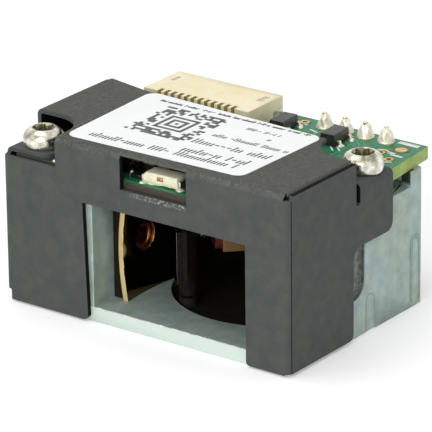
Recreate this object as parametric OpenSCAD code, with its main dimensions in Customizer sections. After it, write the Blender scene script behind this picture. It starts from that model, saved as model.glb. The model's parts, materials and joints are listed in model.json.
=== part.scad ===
// Laser barcode scan engine: die-cast chassis, folded cover, circuit board
// and an oscillating scan mirror. Millimetres, +Z up, front at -Y.

/* [Chassis] */
// Width of the casting
chassis_w = 39.7; // [38:0.1:44]
// Depth of the casting, front to back
chassis_d = 27.4; // [26.5:0.1:30]
// Height of the side walls
wall_h = 15.3; // [15:0.1:16.5]
// Height of the posts that carry the board
seat_h = 17.15; // [17:0.05:19]
// Thickness of the floor
floor_t = 1.85; // [1.6:0.05:2.2]
// Thickness of the side and back walls
wall_t = 1.5; // [1.2:0.1:1.8]
// Inner width of the laser bay
bay_w = 8.45; // [8:0.05:9]
// Thickness of the wall between laser bay and optics bay
partition_t = 1.6; // [1.2:0.1:2]
// Rounding of the upright corners
corner_r = 0.6; // [0.3:0.1:1]
// Depth of the front pillars behind the cover
pillar_d = 5.2; // [5:0.1:5.6]
// Diameter of the two mounting holes in the underside
mount_d = 2; // [1.6:0.1:2.6]
// Depth of the mounting holes
mount_depth = 4; // [3:0.5:6]
// Left mounting hole, from the left of the casting
mount_in_left = 7.3; // [6:0.1:8]
// Right mounting hole, from the right of the casting
mount_in_right = 2.8; // [2.4:0.1:3.2]
// Distance of the mounting holes from the front of the casting
mount_back = 3; // [2.6:0.1:3.4]
// Floor left beside the round opening at the right
well_side = 0.96; // [0.8:0.02:1.2]
// Direction from the pivot to the centre of the round opening, degrees
well_turn = 56.75; // [55:0.25:58]
// Width of the ledge under the carrier
ledge_w = 1; // [0.8:0.1:1.4]
// Height of the ledge under the carrier
ledge_h = 0.5; // [0.4:0.05:0.6]

/* [Cover] */
// Thickness of the sheet
sheet_t = 0.6; // [0.4:0.05:0.7]
// Gap between sheet and casting
cover_gap = 0.05; // [0.03:0.01:0.12]
// Outside radius of the bends
bend_r = 0.8; // [0.75:0.05:1]
// How far the cover stands further off the casting at its left side
left_flare = 0.6; // [0:0.05:0.7]
// Free height between board and top plate
cover_room = 3; // [2.9:0.1:4]
// Height of the bottom edge above the underside
leg_z = 0.2; // [0.1:0.05:0.6]
// Left edge of the window at its top, from the left of the cover
window_in = 11.35; // [11:0.05:11.6]
// How far the left edge leans inwards at the bottom
window_lean = 0.55; // [0:0.05:0.8]
// Width of the window at its top
window_w = 23.45; // [20:0.05:23.8]
// Height of the top of the window
window_h = 15; // [13:0.1:15.2]
// Left edge of the indicator slot, from the left of the cover
slot_in = 17; // [16:0.1:17.4]
// Width of the indicator slot
slot_w = 9.5; // [9:0.1:11]
// Height of the bottom of the indicator slot
slot_z = 17.85; // [17:0.05:18]
// Width of the notch round the left screw
notch_w = 7.35; // [7:0.05:8]
// Depth of the notch round the left screw
notch_d = 6.75; // [6.5:0.05:7.2]
// Depth of the top plate at its left side
top_d_left = 20.2; // [19.5:0.1:21]
// Depth of the top plate at the label's left corner
top_d_mid = 18.85; // [18.4:0.05:19.2]
// Depth of the top plate at its right side
top_d_right = 17.75; // [17:0.05:18.4]
// Radius of the notch round the right screw
ear_clear_r = 4.7; // [4.2:0.1:4.8]
// Depth of the flaps below the ears
flap_d = 12.85; // [12:0.05:13]
// Height of the step in the flaps
flap_step_z = 11.7; // [10.5:0.1:13]
// Width of an ear along the cover's side
ear_w = 6.7; // [6.2:0.1:7]
// Reach of an ear over the board
ear_reach = 5.7; // [5.4:0.1:6.2]

/* [Label] */
// Left back corner of the label, from the left of the cover
label_in = 7.35; // [7.1:0.05:8]
// Width of the label at its back edge
label_w = 26; // [22:0.1:26.2]
// How far each front corner is set in from the back corner
label_lean = 0.6; // [0:0.05:1]
// Distance of the label's front edge from the front of the cover
label_y = 1.3; // [1:0.05:2]
// How much further back the front edge lies at its right end
label_slant = 0.5; // [0:0.05:0.8]
// Distance of the label's back edge from the back edge of the top plate
label_back = 0.1; // [0.05:0.05:1]
// Thickness of the label
label_t = 0.1; // [0.08:0.01:0.2]
// Corner radius of the label
label_r = 1.3; // [0.5:0.1:2]

/* [Board] */
// Thickness of the board
board_t = 1.6; // [1:0.1:2]
// How far the board passes the back of the casting
overhang = 2.35; // [2.2:0.05:4]
// How far the right edge tapers in towards the back
board_taper = 0.8; // [0:0.1:1.2]
// Radius of the soldered pads of the pin row
joint_r = 1.15; // [1:0.05:1.3]
// Height of the solder cones
joint_h = 1.85; // [1.2:0.05:2.4]
// Pitch of the pin row
pin_pitch = 2.95; // [2.7:0.05:3]
// Number of soldered pins
pin_n = 4; // [3:1:4]
// Diameter of the soldered pins
pin_d = 0.6; // [0.5:0.05:0.8]
// Diameter of the plated holes near the right screw
ring_hole_d = 0.6; // [0.4:0.05:0.8]

/* [Screws] */
// Thread diameter of the cover screws
screw_d = 2.5; // [2.2:0.1:2.6]
// Diameter of the screw heads
head_d = 4.95; // [4.6:0.05:5]
// Height of the screw heads
head_h = 2.2; // [1.8:0.1:2.4]
// Length of the thread under the head
screw_len = 8; // [6:0.5:10]
// Left screw, from the left of the cover
left_screw_in = 2.8; // [2.7:0.05:2.9]
// Left screw, from the front of the cover
left_screw_y = 3.7; // [3.5:0.05:3.8]
// Right screw, from the right of the cover
right_screw_in = 2.6; // [2.55:0.05:2.9]
// Right screw, from the front of the cover
right_screw_y = 18.4; // [18:0.1:18.6]

/* [Connector] */
// Number of contacts
contact_n = 12; // [8:1:12]
// Pitch of the contacts
contact_pitch = 1; // [0.9:0.05:1.05]
// Housing length past the outer contacts, at each end
housing_end = 2.35; // [2.2:0.05:2.6]
// Depth of the housing
housing_d = 7.1; // [6.5:0.1:7.5]
// Height of the housing
housing_h = 2.4; // [2.2:0.1:3]
// Left end of the housing, from the left of the cover
housing_in = 3.25; // [3:0.05:3.5]

/* [Laser] */
// Height of the beam
beam_z = 8.6; // [8.2:0.1:9]
// Distance of the beam from the front of the cover
beam_y = 8.8; // [8.7:0.05:9]
// Diameter of the laser barrel
barrel_d = 5.6; // [5:0.1:5.8]
// Length of the laser barrel
barrel_len = 7.4; // [7:0.1:7.6]
// Diameter of the nose of the barrel
nose_d = 3.3; // [3:0.1:3.5]

/* [Collecting mirror] */
// Radius of the reflecting face
collect_r = 33; // [30:1:45]
// Thickness of the mirror
collect_t = 0.7; // [0.6:0.05:1]
// Width of the mirror
collect_w = 9.4; // [8.8:0.1:9.5]
// Height of the mirror
collect_h = 12.6; // [11:0.1:13]

/* [Scan mirror] */
// Pivot, from the left of the cover
pivot_in = 20; // [19.9:0.05:20.1]
// Diameter of the pivot pin
pivot_d = 1; // [0.8:0.1:1.1]
// Radial running clearance on the pin
pivot_gap = 0.05; // [0.03:0.01:0.08]
// Width of the scan mirror
scan_w = 7.2; // [6:0.1:7.6]
// Height of the scan mirror
scan_h = 6.6; // [5:0.1:7]
// Thickness of the scan mirror
scan_t = 0.7; // [0.5:0.1:0.9]
// Distance of the mirror's back from the pivot axis
scan_off = 1.1; // [1.1:0.05:1.3]
// Diameter of the drive magnet
magnet_d = 3; // [2.4:0.1:3.2]
// Thickness of the drive magnet
magnet_t = 1; // [0.8:0.1:1.1]
// Distance of the coil's face from the pivot axis
coil_off = 3; // [2.95:0.05:3.4]
// Width and height of the coil
coil_w = 5; // [4.4:0.1:5.2]
// Length of the coil
coil_len = 4; // [3.5:0.1:4.4]
// Height of the bottom of the coil
coil_z = 8.6; // [8.4:0.1:8.9]

/* [Carrier] */
// Gap between carrier and casting
carrier_gap = 0.15; // [0.1:0.05:0.2]
// Thickness of the carrier's base
carrier_t = 0.8; // [0.7:0.05:1]
// Thickness of the carrier's walls
carrier_wall = 0.8; // [0.7:0.1:1]
// Diameter of the carrier screws
carrier_screw_d = 1.6; // [1.4:0.1:1.8]

/* [Hidden] */
$fn = 48;
// Small overlap that lets a cut run past a face
cut = 1;

// Casting and cover, measured from the middle in x and from the cover's front in y
skin = sheet_t + cover_gap;
cover_w = chassis_w + 2 * skin;
left = -cover_w / 2;
right = cover_w / 2;
cover_l = left - left_flare;
cast_l = -chassis_w / 2;
cast_r = chassis_w / 2;
cast_f = skin;
cast_b = cast_f + chassis_d;
bay_l = cast_l + wall_t;
bay_r = bay_l + bay_w;
optics_l = bay_r + partition_t;
optics_r = cast_r - wall_t;
bay_b = cast_b - wall_t;
// Right side of the optics bay's mouth
mouth_r = left + window_in + window_w + 0.4;
pillar_b = cast_f + pillar_d;
mount_y = cast_f + mount_back;
mount_xl = cast_l + mount_in_left;
mount_xr = cast_r - mount_in_right;
back_post = 2.45;
groove_d = 0.09;
pocket_z = mount_depth + 1.5;

// Board and what stands on it
board_z = seat_h;
board_top = board_z + board_t;
board_f = cast_f + 0.1;
board_b = cast_b + overhang;
board_l = cast_l + 0.3;
board_r = cast_r - 0.1;
cover_h = board_top + cover_room + sheet_t;
ear_top = board_top + sheet_t;
left_screw_x = left + left_screw_in;
right_screw_x = right - right_screw_in;
screw_places = [[left_screw_x, left_screw_y], [right_screw_x, right_screw_y]];
right_ear_y = right_screw_y - 4.25;
left_ear_y = left_screw_y - 2.75;
left_ear_w = 5.3;
screw_gap = 0.05;
hole_gap = 0.2;
slot_top = cover_h - 0.35;
// Radius that joins the two ends of the left notch
notch_r = notch_w - left_screw_in;
// Corner points of the top plate's back edge
top_mid_x = left + label_in - 0.3;
top_right_x = left + label_in + label_w + 0.3;

// Parts on the board
led_x = left + 21.6;
led_y = 2.6;
led_w = 5.45;
led_d = 2.15;
led_end = 0.35;
led_h = 1.5;
led_turn = 3;
joint_row_y = board_b - 1.55;
joint_tip_r = pin_d / 2 + 0.1;
joint_row_x = left + 25.65;
housing_w = (contact_n - 1) * contact_pitch + 2 * housing_end;
housing_x = left + housing_in;
housing_b = board_b - 0.8;
nail_t = 0.2;
nail_y = housing_b - 2;
tab_y = housing_b - 3.2;
contact_gap = 0.02;
slot_d = 0.9;
// Tabs in the top of the housing: left end and size
tabs = [[housing_x + 1.05, 0.6, 1.8], [housing_x + housing_w - 1.65, 0.8, 2.1]];
tab_t = 0.2;
tab_sink = 0.3;
housing_f = housing_b - housing_d;
contact_x = housing_x + housing_end;
contact_z = board_top + housing_h / 2;
cavity_w = housing_w - 2.4;
cavity_h = housing_h - 1;
cavity_d = housing_d - 1.8;
sot_l = 3.35;
sot_w = 2.1;
sot_h = 1.4;
sot_turn = 4;
sot_lead_y = 1.2;
rear_sot = [left + 21.9, board_b - 4.8];
side_sot = [left + 29.45, board_b - 5];
pad_t = 0.05;
pad_rim = 0.3;
ring_pads = [[right_screw_x - 0.3, right_screw_y + 5.7], [right_screw_x - 2.4, right_screw_y + 7.1],
    [joint_row_x - pin_pitch, joint_row_y + 0.05]];
test_pad = [right_screw_x - 0.8, board_b - 2.9];
test_pad_d = 1.5;
chip_a = [left + 14, 12.6];
chip_a_w = 7;
chip_h = 1.4;
chip_a_n = 10;
chip_a_pitch = 0.65;
chip_b = [left + 27.5, 12];
chip_b_w = 4;
chip_b_l = 5;
chip_b_n = 4;
chip_b_pitch = 1.27;
chip_lift = 0.1;
lead_t = 0.15;
crystal_l = 5;
crystal_w = 3.2;
crystal_h = 1.2;
crystal_r = 0.5;
crystal_at = [chip_b[0] - chip_b_w - 1.8, chip_b[1] - chip_b_l / 2 - 1.1];
chip_part_l = 1.6;
chip_part_w = 0.8;
capacitor_h = 0.8;
resistor_h = 0.5;
part_pitch = 2.2;
row_x = left + 9.5;
row_y = 5.2;
row_gap = 1.8;
side_row_x = left + 32.8;
side_row_pitch = 1.7;
back_row_x = left + 19.5;
back_row_y = 16;

// Optics
// Middle of the collecting mirror's face, and the sphere that it is a part of
collect_x = optics_l + 1.5;
collect_at = [collect_x + collect_r, beam_y, floor_t + collect_h / 2];
collect_fn = 192;
// Depth of the block that the mirror and its bracket are cut from
collect_block = 3;
bracket_inset = 0.45;
nose_gap = 0.15;
nose_end = collect_x - 0.4;
nose_wall = 0.45;
lens_t = 1.5;
// Shoulder in the barrel that the lens rests on, behind the face of the partition
lens_back = 2.4;
pivot_x = left + pivot_in;
pivot_y = beam_y;
boss_r = 1.1;
// The opening reaches from the boss of the pivot to the floor left at the right
boss_rim = 0.1;
boss_in = boss_r + boss_rim + carrier_gap;
well_r = (optics_r - well_side - pivot_x + boss_in * cos(well_turn)) / (1 + cos(well_turn));
well_cx = pivot_x + (well_r - boss_in) * cos(well_turn);
well_cy = pivot_y + (well_r - boss_in) * sin(well_turn);
well_floor = ledge_h + carrier_t;
arm_z = coil_z + coil_w;
arm_t = 1.3;
mirror_z = beam_z - scan_h / 2;
holder_d = 2 * scan_off;
holder_t = 0.6;
boss_top = well_floor + 1.1;
holder_z = boss_top + 0.3;
holder_top = arm_z - 0.4;
holder_bore = pivot_d + 2 * pivot_gap;
magnet_x = 1.3;
magnet_z = coil_z + coil_w / 2;
arm_r = 1.9;
flange_t = 0.5;
core_w = 2.2;
winding_w = coil_w - 0.3;
tape_x = coil_off + 0.85;
coil_lead_d = 0.25;
coil_lead_x = coil_off + coil_len + 0.5;
lug_r = 1.3;
lug_t = 0.8;
lug_y = bay_b - lug_r - 0.2;
lug_xl = optics_l + lug_r + 0.2;
lug_xr = optics_r - lug_r - 0.2;
// Half width of the round opening level with the lugs
lug_chord = sqrt(pow(well_r - carrier_gap, 2) - pow(lug_y - well_cy, 2));
// Inner ends of the strips that join the lugs to the carrier's wall
lug_end_l = max(well_cx - lug_chord, lug_xl + lug_r + carrier_gap) + carrier_wall;
lug_end_r = min(well_cx + lug_chord, lug_xr - lug_r - carrier_gap) - carrier_wall;
post_r = 2.4;
block_l = optics_l - barrel_len;
flange_l = block_l - 1.2;

// Light detector that hangs from the board
detector_w = 3.2;
detector_d = 5;
detector_x = pivot_x + 7;
detector_y = pivot_y - 2.1;
detector_z = board_z - 3.75;
detector_rim = 0.6;

// Removes the corner at the origin of a sheet that lies in the first quadrant
module corner_cut(r) {
    difference() {
        translate([-cut, -cut]) square(r + cut);
        translate([r, r]) circle(r);
    }
}

// Rectangle from two corners with rounded corners
module round_rect(x0, y0, x1, y1, r) {
    translate([x0 + r, y0]) square([x1 - x0 - 2 * r, y1 - y0]);
    translate([x0, y0 + r]) square([x1 - x0, y1 - y0 - 2 * r]);
    for (x = [x0 + r, x1 - r], y = [y0 + r, y1 - r]) translate([x, y]) circle(r);
}

// Quarter of a bent sheet: centre at the origin, bulging towards -x and +y
module bend_section() {
    intersection() {
        difference() {
            circle(bend_r);
            circle(bend_r - sheet_t);
        }
        translate([-bend_r, 0]) square(bend_r);
    }
}

// Stands a drawing made in y and z up, and gives it a thickness along x
module along_x(t) {
    multmatrix([[0, 0, 1, 0], [1, 0, 0, 0], [0, 1, 0, 0], [0, 0, 0, 1]]) linear_extrude(t) children();
}

// Stands a drawing made in x and z up, and gives it a thickness along y
module along_y(t) {
    translate([0, t, 0]) rotate([90, 0, 0]) linear_extrude(t) children();
}

// Turns what is drawn round the pivot, with local +x pointing from the mirror to the coil
module at_pivot() {
    translate([pivot_x, pivot_y, 0]) rotate(45) children();
}

// Casting

module cast_outline() {
    round_rect(cast_l, cast_f, cast_r, cast_b, corner_r);
}

module bays() {
    // Laser bay: a strip at the left wall and the room behind the laser block
    round_rect(bay_l, pillar_b, block_l - 0.3, bay_b, 0.8);
    round_rect(bay_l, beam_y + 3.9, bay_r, bay_b, 0.8);
    // Optics bay and its mouth
    round_rect(optics_l, pillar_b, optics_r, bay_b, 1);
    translate([optics_l, 0]) square([mouth_r - optics_l, pillar_b + 2]);
}

// Round opening in the floor, flat at the back and kept clear of the right screw post
module well_outline(inset) {
    difference() {
        intersection() {
            translate([well_cx, well_cy]) circle(well_r - inset);
            translate([optics_l + inset, 0]) square([optics_r - optics_l - 2 * inset, bay_b - inset]);
        }
        translate([right_screw_x, right_screw_y]) circle(post_r + inset);
        for (x = [lug_xl, lug_xr]) translate([x, lug_y]) circle(lug_r + inset);
    }
}

// Round-ended mark left by the casting tool in the right side
module side_pocket() {
    translate([cast_r - 0.6, 0, 0]) along_x(cut) {
        translate([flap_d + 1.2, flap_step_z - 5]) circle(1.95);
        translate([flap_d - 0.75, flap_step_z - 5]) square([3.9, 5]);
    }
}

module side_grooves() {
    translate([cast_r - groove_d, 0, 0]) along_x(cut) {
        round_rect(flap_d + 3.4, -2, flap_d + 5.2, 4.6, 0.85);
        difference() {
            round_rect(cast_b - 2.6, 0.4, cast_b - 0.5, 9, 1);
            round_rect(cast_b - 2.2, 0, cast_b - 0.9, 8.6, 0.6);
        }
    }
}

module chassis() {
    color([0.66, 0.70, 0.69])
    difference() {
        union() {
            linear_extrude(floor_t) cast_outline();
            linear_extrude(wall_h) difference() {
                cast_outline();
                bays();
            }
            linear_extrude(seat_h) intersection() {
                cast_outline();
                union() {
                    translate([left_screw_x, left_screw_y]) circle(post_r);
                    translate([left_screw_x - 2 * post_r, 0]) square([3 * post_r, left_screw_y]);
                    translate([right_screw_x, right_screw_y]) circle(post_r);
                    translate([right_screw_x, right_screw_y - post_r]) square(2 * post_r);
                    translate([cast_r - wall_t, cast_b - back_post]) square(back_post);
                    translate([cast_l, cast_b - back_post]) square([wall_t, back_post]);
                }
            }
        }
        translate([0, 0, ledge_h]) linear_extrude(floor_t) well_outline(0);
        translate([0, 0, -cut]) linear_extrude(floor_t + cut) well_outline(ledge_w);
        for (p = screw_places) translate([p[0], p[1], seat_h - screw_len])
            cylinder(d = screw_d + 2 * screw_gap, h = screw_len + cut);
        // Bore for the laser barrel, and the room above the laser block
        translate([bay_l, beam_y, beam_z]) rotate([0, 90, 0])
            cylinder(d = barrel_d + 2 * screw_gap, h = bay_w + partition_t + cut);
        translate([bay_l, pillar_b, beam_z + 4]) cube([bay_w, bay_b - pillar_b, wall_h]);
        for (x = [mount_xl, mount_xr])
            translate([x, mount_y, -cut]) cylinder(d = mount_d, h = mount_depth + cut);
        for (x = [lug_xl, lug_xr])
            translate([x, lug_y, -cut]) cylinder(d = carrier_screw_d + 2 * screw_gap, h = floor_t + 2 * cut);
        // Pocket that lightens the left pillar
        translate([0, 0, pocket_z]) linear_extrude(seat_h)
            round_rect(left_screw_x + 3, cast_f + 1.3, bay_r, pillar_b - 1.3, 0.4);
        side_pocket();
        side_grooves();
        // Gap in the back wall for the wires to the pin row
        translate([3, bay_b - cut, wall_h - 4]) cube([12, wall_t + 2 * cut, 5]);
    }
}

// Cover

module window_outline() {
    polygon([[left + window_in + window_lean, -cut], [left + window_in, window_h],
        [left + window_in + window_w, window_h], [left + window_in + window_w, -cut]]);
}

module front_outline() {
    difference() {
        translate([cover_l + bend_r, leg_z])
            square([right - cover_l - 2 * bend_r, cover_h - bend_r - leg_z]);
        window_outline();
        translate([left + slot_in, slot_z]) square([slot_w, cover_h]);
        // Notch that leaves the left screw free
        translate([cover_l - cut, ear_top - 0.85]) square([left + notch_w - cover_l + cut, cover_h]);
        // Rounded corners of the two legs at the window
        translate([left + window_in + window_lean, leg_z]) mirror([1, 0]) corner_cut(1);
        translate([left + window_in + window_w, leg_z]) corner_cut(0.5);
    }
}

// Flap at a side, drawn with y to the back: the strap from ear_y to ear_y + ear_w carries the ear
module right_flap_outline() {
    strap_e = right_ear_y + ear_w;
    high_e = right_ear_y - 0.8;
    difference() {
        union() {
            translate([bend_r, leg_z + 0.2]) square([flap_d - bend_r, flap_step_z]);
            translate([bend_r, flap_step_z]) square([high_e - bend_r, cover_h - 0.25 - flap_step_z]);
            translate([bend_r, flap_step_z]) square([strap_e - bend_r, ear_top - bend_r - flap_step_z]);
            translate([flap_d, flap_step_z - 1.5]) square(1.5);
        }
        // Slit between the high part and the strap
        translate([high_e + 0.4, ear_top - 2.1]) circle(0.4);
        translate([high_e, ear_top - 2.1]) square([0.8, cover_h]);
        translate([flap_d + 1.5, flap_step_z - 1.5]) circle(1.5);
        translate([strap_e, flap_step_z]) mirror([1, 0]) corner_cut(1.2);
        translate([flap_d, leg_z + 0.2]) mirror([1, 0]) corner_cut(0.8);
    }
}

module left_flap_outline() {
    strap_e = left_ear_y + left_ear_w;
    back_e = top_d_left - 0.6;
    seam_z = ear_top - 2.1;
    difference() {
        union() {
            translate([bend_r, leg_z + 1.3]) square([flap_d - bend_r, cover_h - bend_r - leg_z - 1.3]);
            translate([bend_r, flap_step_z]) square([back_e - bend_r, cover_h - bend_r - flap_step_z]);
        }
        // The ear leaves the flap lower than the top plate
        translate([-cut, ear_top - bend_r]) square([strap_e + cut, cover_h]);
        // Seam between the flap of the front and the flap of the top plate
        translate([strap_e, seam_z]) square([back_e, 0.15]);
        translate([strap_e, seam_z]) square([notch_d - strap_e, cover_h]);
        translate([back_e, flap_step_z]) mirror([1, 0]) corner_cut(1.2);
        translate([flap_d, leg_z + 1.3]) mirror([1, 0]) corner_cut(0.8);
    }
}

module top_outline() {
    difference() {
        polygon([[cover_l + bend_r, bend_r], [board_r, bend_r], [board_r, right_screw_y],
            [top_right_x, top_d_right], [top_mid_x, top_d_mid],
            [cover_l + bend_r, top_d_left]]);
        // Notch round the left screw: a quarter circle with straight ends
        translate([left_screw_x, notch_d - notch_r]) circle(notch_r);
        translate([cover_l - cut, -cut]) square([left_screw_x - cover_l + cut, notch_d + cut]);
        translate([cover_l - cut, -cut])
            square([left + notch_w - cover_l + cut, notch_d - notch_r + cut]);
        translate([right_screw_x, right_screw_y - 0.3]) circle(ear_clear_r);
        translate([right_screw_x, right_screw_y - 0.3 - ear_clear_r]) square(2 * ear_clear_r);
    }
}

// Ear at the left edge: a bend out of the flap and a flat tongue with round corners
module ear(w, reach) {
    ear_r = 1.2;
    intersection() {
        union() {
            translate([bend_r, 0, ear_top - bend_r]) along_y(w) bend_section();
            translate([bend_r, 0, ear_top - sheet_t]) cube([reach - bend_r, w, sheet_t]);
        }
        linear_extrude(cover_h) round_rect(-ear_r, 0, reach, w, ear_r);
    }
}

module cover() {
    color([0.33, 0.345, 0.34]) union() {
        along_y(sheet_t) front_outline();
        translate([cover_l, 0, 0]) along_x(sheet_t) left_flap_outline();
        translate([right - sheet_t, 0, 0]) along_x(sheet_t) right_flap_outline();
        // Upright bends at the two front corners
        translate([cover_l + bend_r, bend_r, leg_z + 1.3]) linear_extrude(ear_top - 0.85 - leg_z - 1.3)
            rotate(90) bend_section();
        translate([right - bend_r, bend_r, leg_z + 0.2]) linear_extrude(cover_h - bend_r - leg_z - 0.2)
            rotate(180) bend_section();
        // Top plate and the long bend that joins it to the front
        translate([0, 0, cover_h - sheet_t]) linear_extrude(sheet_t) top_outline();
        difference() {
            translate([left + notch_w, bend_r, cover_h - bend_r]) along_x(cover_w - notch_w - bend_r)
                bend_section();
            translate([left + slot_in, -cut, slot_z]) cube([slot_w, cut + bend_r, slot_top - slot_z]);
        }
        // Bend between the top plate and its flap at the left
        translate([cover_l + bend_r, notch_d, cover_h - bend_r]) along_y(top_d_left - 0.6 - notch_d)
            bend_section();
        difference() {
            union() {
                translate([cover_l, left_ear_y, 0]) ear(left_ear_w, ear_reach + left_flare);
                translate([right, right_ear_y, 0]) mirror([1, 0, 0]) ear(ear_w, ear_reach);
            }
            for (p = screw_places) translate(p) cylinder(d = screw_d + hole_gap, h = cover_h);
        }
    }
}

module label() {
    color([0.95, 0.95, 0.94]) translate([left + label_in, 0, cover_h]) hull() {
        for (p = [[label_lean + label_r, label_y + label_r],
                [label_r, top_d_mid - label_back - label_r],
                [label_w - label_lean / 2 - label_r, label_y + label_slant + label_r],
                [label_w - label_r, top_d_right - label_back - label_r]])
            translate(p) cylinder(r = label_r, h = label_t, $fn = 32);
    }
}

// Board

function joint_x(i) = joint_row_x + i * pin_pitch;

module board_outline() {
    polygon([[board_l, board_f], [board_r, board_f], [board_r, right_ear_y + ear_w],
        [board_r - board_taper, board_b], [board_l, board_b]]);
}

module circuit_board() {
    color([0.13, 0.45, 0.25]) translate([0, 0, board_z]) difference() {
        linear_extrude(board_t) board_outline();
        for (p = screw_places)
            translate([p[0], p[1], -cut]) cylinder(d = screw_d + hole_gap, h = board_t + 2 * cut);
        for (i = [0:pin_n - 1])
            translate([joint_x(i), joint_row_y, -cut]) cylinder(d = pin_d + 0.1, h = board_t + 2 * cut);
        for (p = ring_pads) translate([p[0], p[1], -cut]) cylinder(d = ring_hole_d, h = board_t + 2 * cut);
    }
}

// Gold pads: three rings round plated holes and one solid test pad
module board_pads() {
    color([0.80, 0.66, 0.36]) translate([0, 0, board_top]) {
        for (p = ring_pads) translate([p[0], p[1], 0]) difference() {
            cylinder(d = ring_hole_d + 2 * pad_rim, h = pad_t);
            translate([0, 0, -cut]) cylinder(d = ring_hole_d, h = 3 * cut);
        }
        translate(test_pad) cylinder(d = test_pad_d, h = pad_t);
    }
}

// Pan head: an upright side, rounded over to a flat top
module pan_screw() {
    dome_r = 1.35;
    dome_end = 75;
    side_h = head_h - dome_r * sin(dome_end);
    recess_r = 1;
    recess_d = 1.4;
    lobe_r = 0.35;
    rim_d = 0.2;
    difference() {
        union() {
            rotate_extrude() polygon(concat([[0, 0], [head_d / 2 - 0.1, 0], [head_d / 2, side_h / 3]],
                [for (a = [0:dome_end / 10:dome_end])
                    [head_d / 2 - dome_r * (1 - cos(a)), side_h + dome_r * sin(a)]], [[0, head_h]]));
            translate([0, 0, -screw_len]) cylinder(d = screw_d, h = screw_len);
        }
        // Six-lobe recess with a chamfered rim
        translate([0, 0, head_h - recess_d]) linear_extrude(recess_d + cut) {
            circle(recess_r);
            for (a = [0:60:300]) rotate(a) translate([recess_r, 0]) circle(lobe_r);
        }
        translate([0, 0, head_h - rim_d])
            cylinder(r1 = recess_r + 0.15, r2 = recess_r + 0.4, h = rim_d + 0.01);
    }
}

module left_screw() {
    color([0.80, 0.79, 0.74]) translate([left_screw_x, left_screw_y, ear_top]) rotate(15) pan_screw();
}

module right_screw() {
    color([0.80, 0.79, 0.74]) translate([right_screw_x, right_screw_y, ear_top]) rotate(40) pan_screw();
}

// Connector with its opening to the back
module connector_housing() {
    color([0.93, 0.86, 0.71]) difference() {
        translate([housing_x, housing_f, board_top]) cube([housing_w, housing_d, housing_h]);
        translate([housing_x + 1.2, housing_b - cavity_d, board_top + 0.5])
            cube([cavity_w, cavity_d + cut, cavity_h]);
        for (i = [0:contact_n - 1])
            translate([contact_x + i * contact_pitch, housing_f, board_top]) {
                translate([-0.25, -cut, -cut]) cube([0.5, cut + slot_d, housing_h + 2 * cut]);
                translate([-0.15 - contact_gap, 0, contact_z - board_top - 0.1 - contact_gap])
                    cube([0.3 + 2 * contact_gap, housing_d - cavity_d + cut, 0.2 + 2 * contact_gap]);
            }
        for (t = tabs) translate([t[0], tab_y, board_top + housing_h - tab_sink]) cube([t[1], t[2], cut]);
    }
}

module connector_contacts() {
    color([0.80, 0.74, 0.60])
        for (i = [0:contact_n - 1]) translate([contact_x + i * contact_pitch - 0.15, 0, board_top]) {
            translate([0, housing_f - 0.75, 0]) cube([0.3, 0.75, 0.2]);
            translate([0, housing_f, 0]) cube([0.3, 0.3, contact_z - board_top + 0.1]);
            translate([0, housing_f + 0.3, contact_z - board_top - 0.1]) cube([0.3, cavity_d - 0.4, 0.2]);
        }
}

// Solder nails at the ends of the housing and the tabs that show in its top
module connector_tabs() {
    color([0.75, 0.75, 0.73]) {
        for (side = [-1, 1])
            translate([housing_x + housing_w / 2 + side * housing_w / 2, nail_y, board_top])
                mirror([side < 0 ? 1 : 0, 0, 0]) {
                    cube([0.6, 1.6, nail_t]);
                    cube([nail_t, 1.6, 1]);
                }
        for (t = tabs) translate([t[0], tab_y, board_top + housing_h - tab_sink]) cube([t[1], t[2], tab_t]);
    }
}

module indicator_led() {
    color([0.95, 0.91, 0.76]) translate([led_x, led_y, board_top]) rotate(led_turn) difference() {
        translate([-led_w / 2 + led_end, -led_d / 2, 0]) cube([led_w - 2 * led_end, led_d, led_h]);
        // Window of the lamp, facing the front
        translate([-0.5, -led_d / 2 - cut, led_h - 0.75]) cube([0.8, cut + 0.12, 0.5]);
    }
}

module indicator_terminals() {
    color([0.80, 0.80, 0.78]) translate([led_x, led_y, board_top]) rotate(led_turn)
        for (x = [-led_w / 2, led_w / 2 - led_end])
            translate([x, -led_d / 2 + 0.2, 0]) cube([led_end, led_d - 0.4, led_h * 0.7]);
}

module sot_body(at) {
    translate([at[0], at[1], board_top + 0.08]) rotate(sot_turn) translate([0, sot_l / 2, 0])
        rotate([90, 0, 0]) linear_extrude(sot_l) polygon([[-sot_w / 2 + 0.08, 0], [sot_w / 2 - 0.08, 0],
            [sot_w / 2, sot_h * 0.45], [sot_w / 2 - 0.12, sot_h], [-sot_w / 2 + 0.12, sot_h],
            [-sot_w / 2, sot_h * 0.45]]);
}

// Gull-wing lead: leaves the body at x = 0 and lands on the board
module wing(w, z, reach) {
    translate([0, w / 2, 0]) rotate([90, 0, 0]) linear_extrude(w)
        polygon([[0, z], [reach * 0.35, z], [reach * 0.55, 0], [reach, 0], [reach, lead_t],
            [reach * 0.6 + lead_t, lead_t], [reach * 0.4 + lead_t, z + lead_t], [0, z + lead_t]]);
}

module sot_leads(at) {
    translate([at[0], at[1], board_top]) rotate(sot_turn) {
        for (y = [-sot_lead_y, sot_lead_y]) translate([sot_w / 2, y, 0]) wing(0.5, 0.6, 0.75);
        translate([-sot_w / 2, 0, 0]) mirror([1, 0, 0]) wing(0.5, 0.6, 0.75);
    }
}

module rear_transistor() {
    color([0.14, 0.14, 0.15]) sot_body(rear_sot);
}

module rear_transistor_leads() {
    color([0.78, 0.78, 0.76]) sot_leads(rear_sot);
}

module side_transistor() {
    color([0.14, 0.14, 0.15]) sot_body(side_sot);
}

module side_transistor_leads() {
    color([0.78, 0.78, 0.76]) sot_leads(side_sot);
}

module header_pins() {
    color([0.85, 0.72, 0.42])
        for (i = [0:pin_n - 1])
            translate([joint_x(i), joint_row_y, board_z - 1.2])
                cylinder(d = pin_d, h = board_t + joint_h + 1.25);
}

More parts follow.
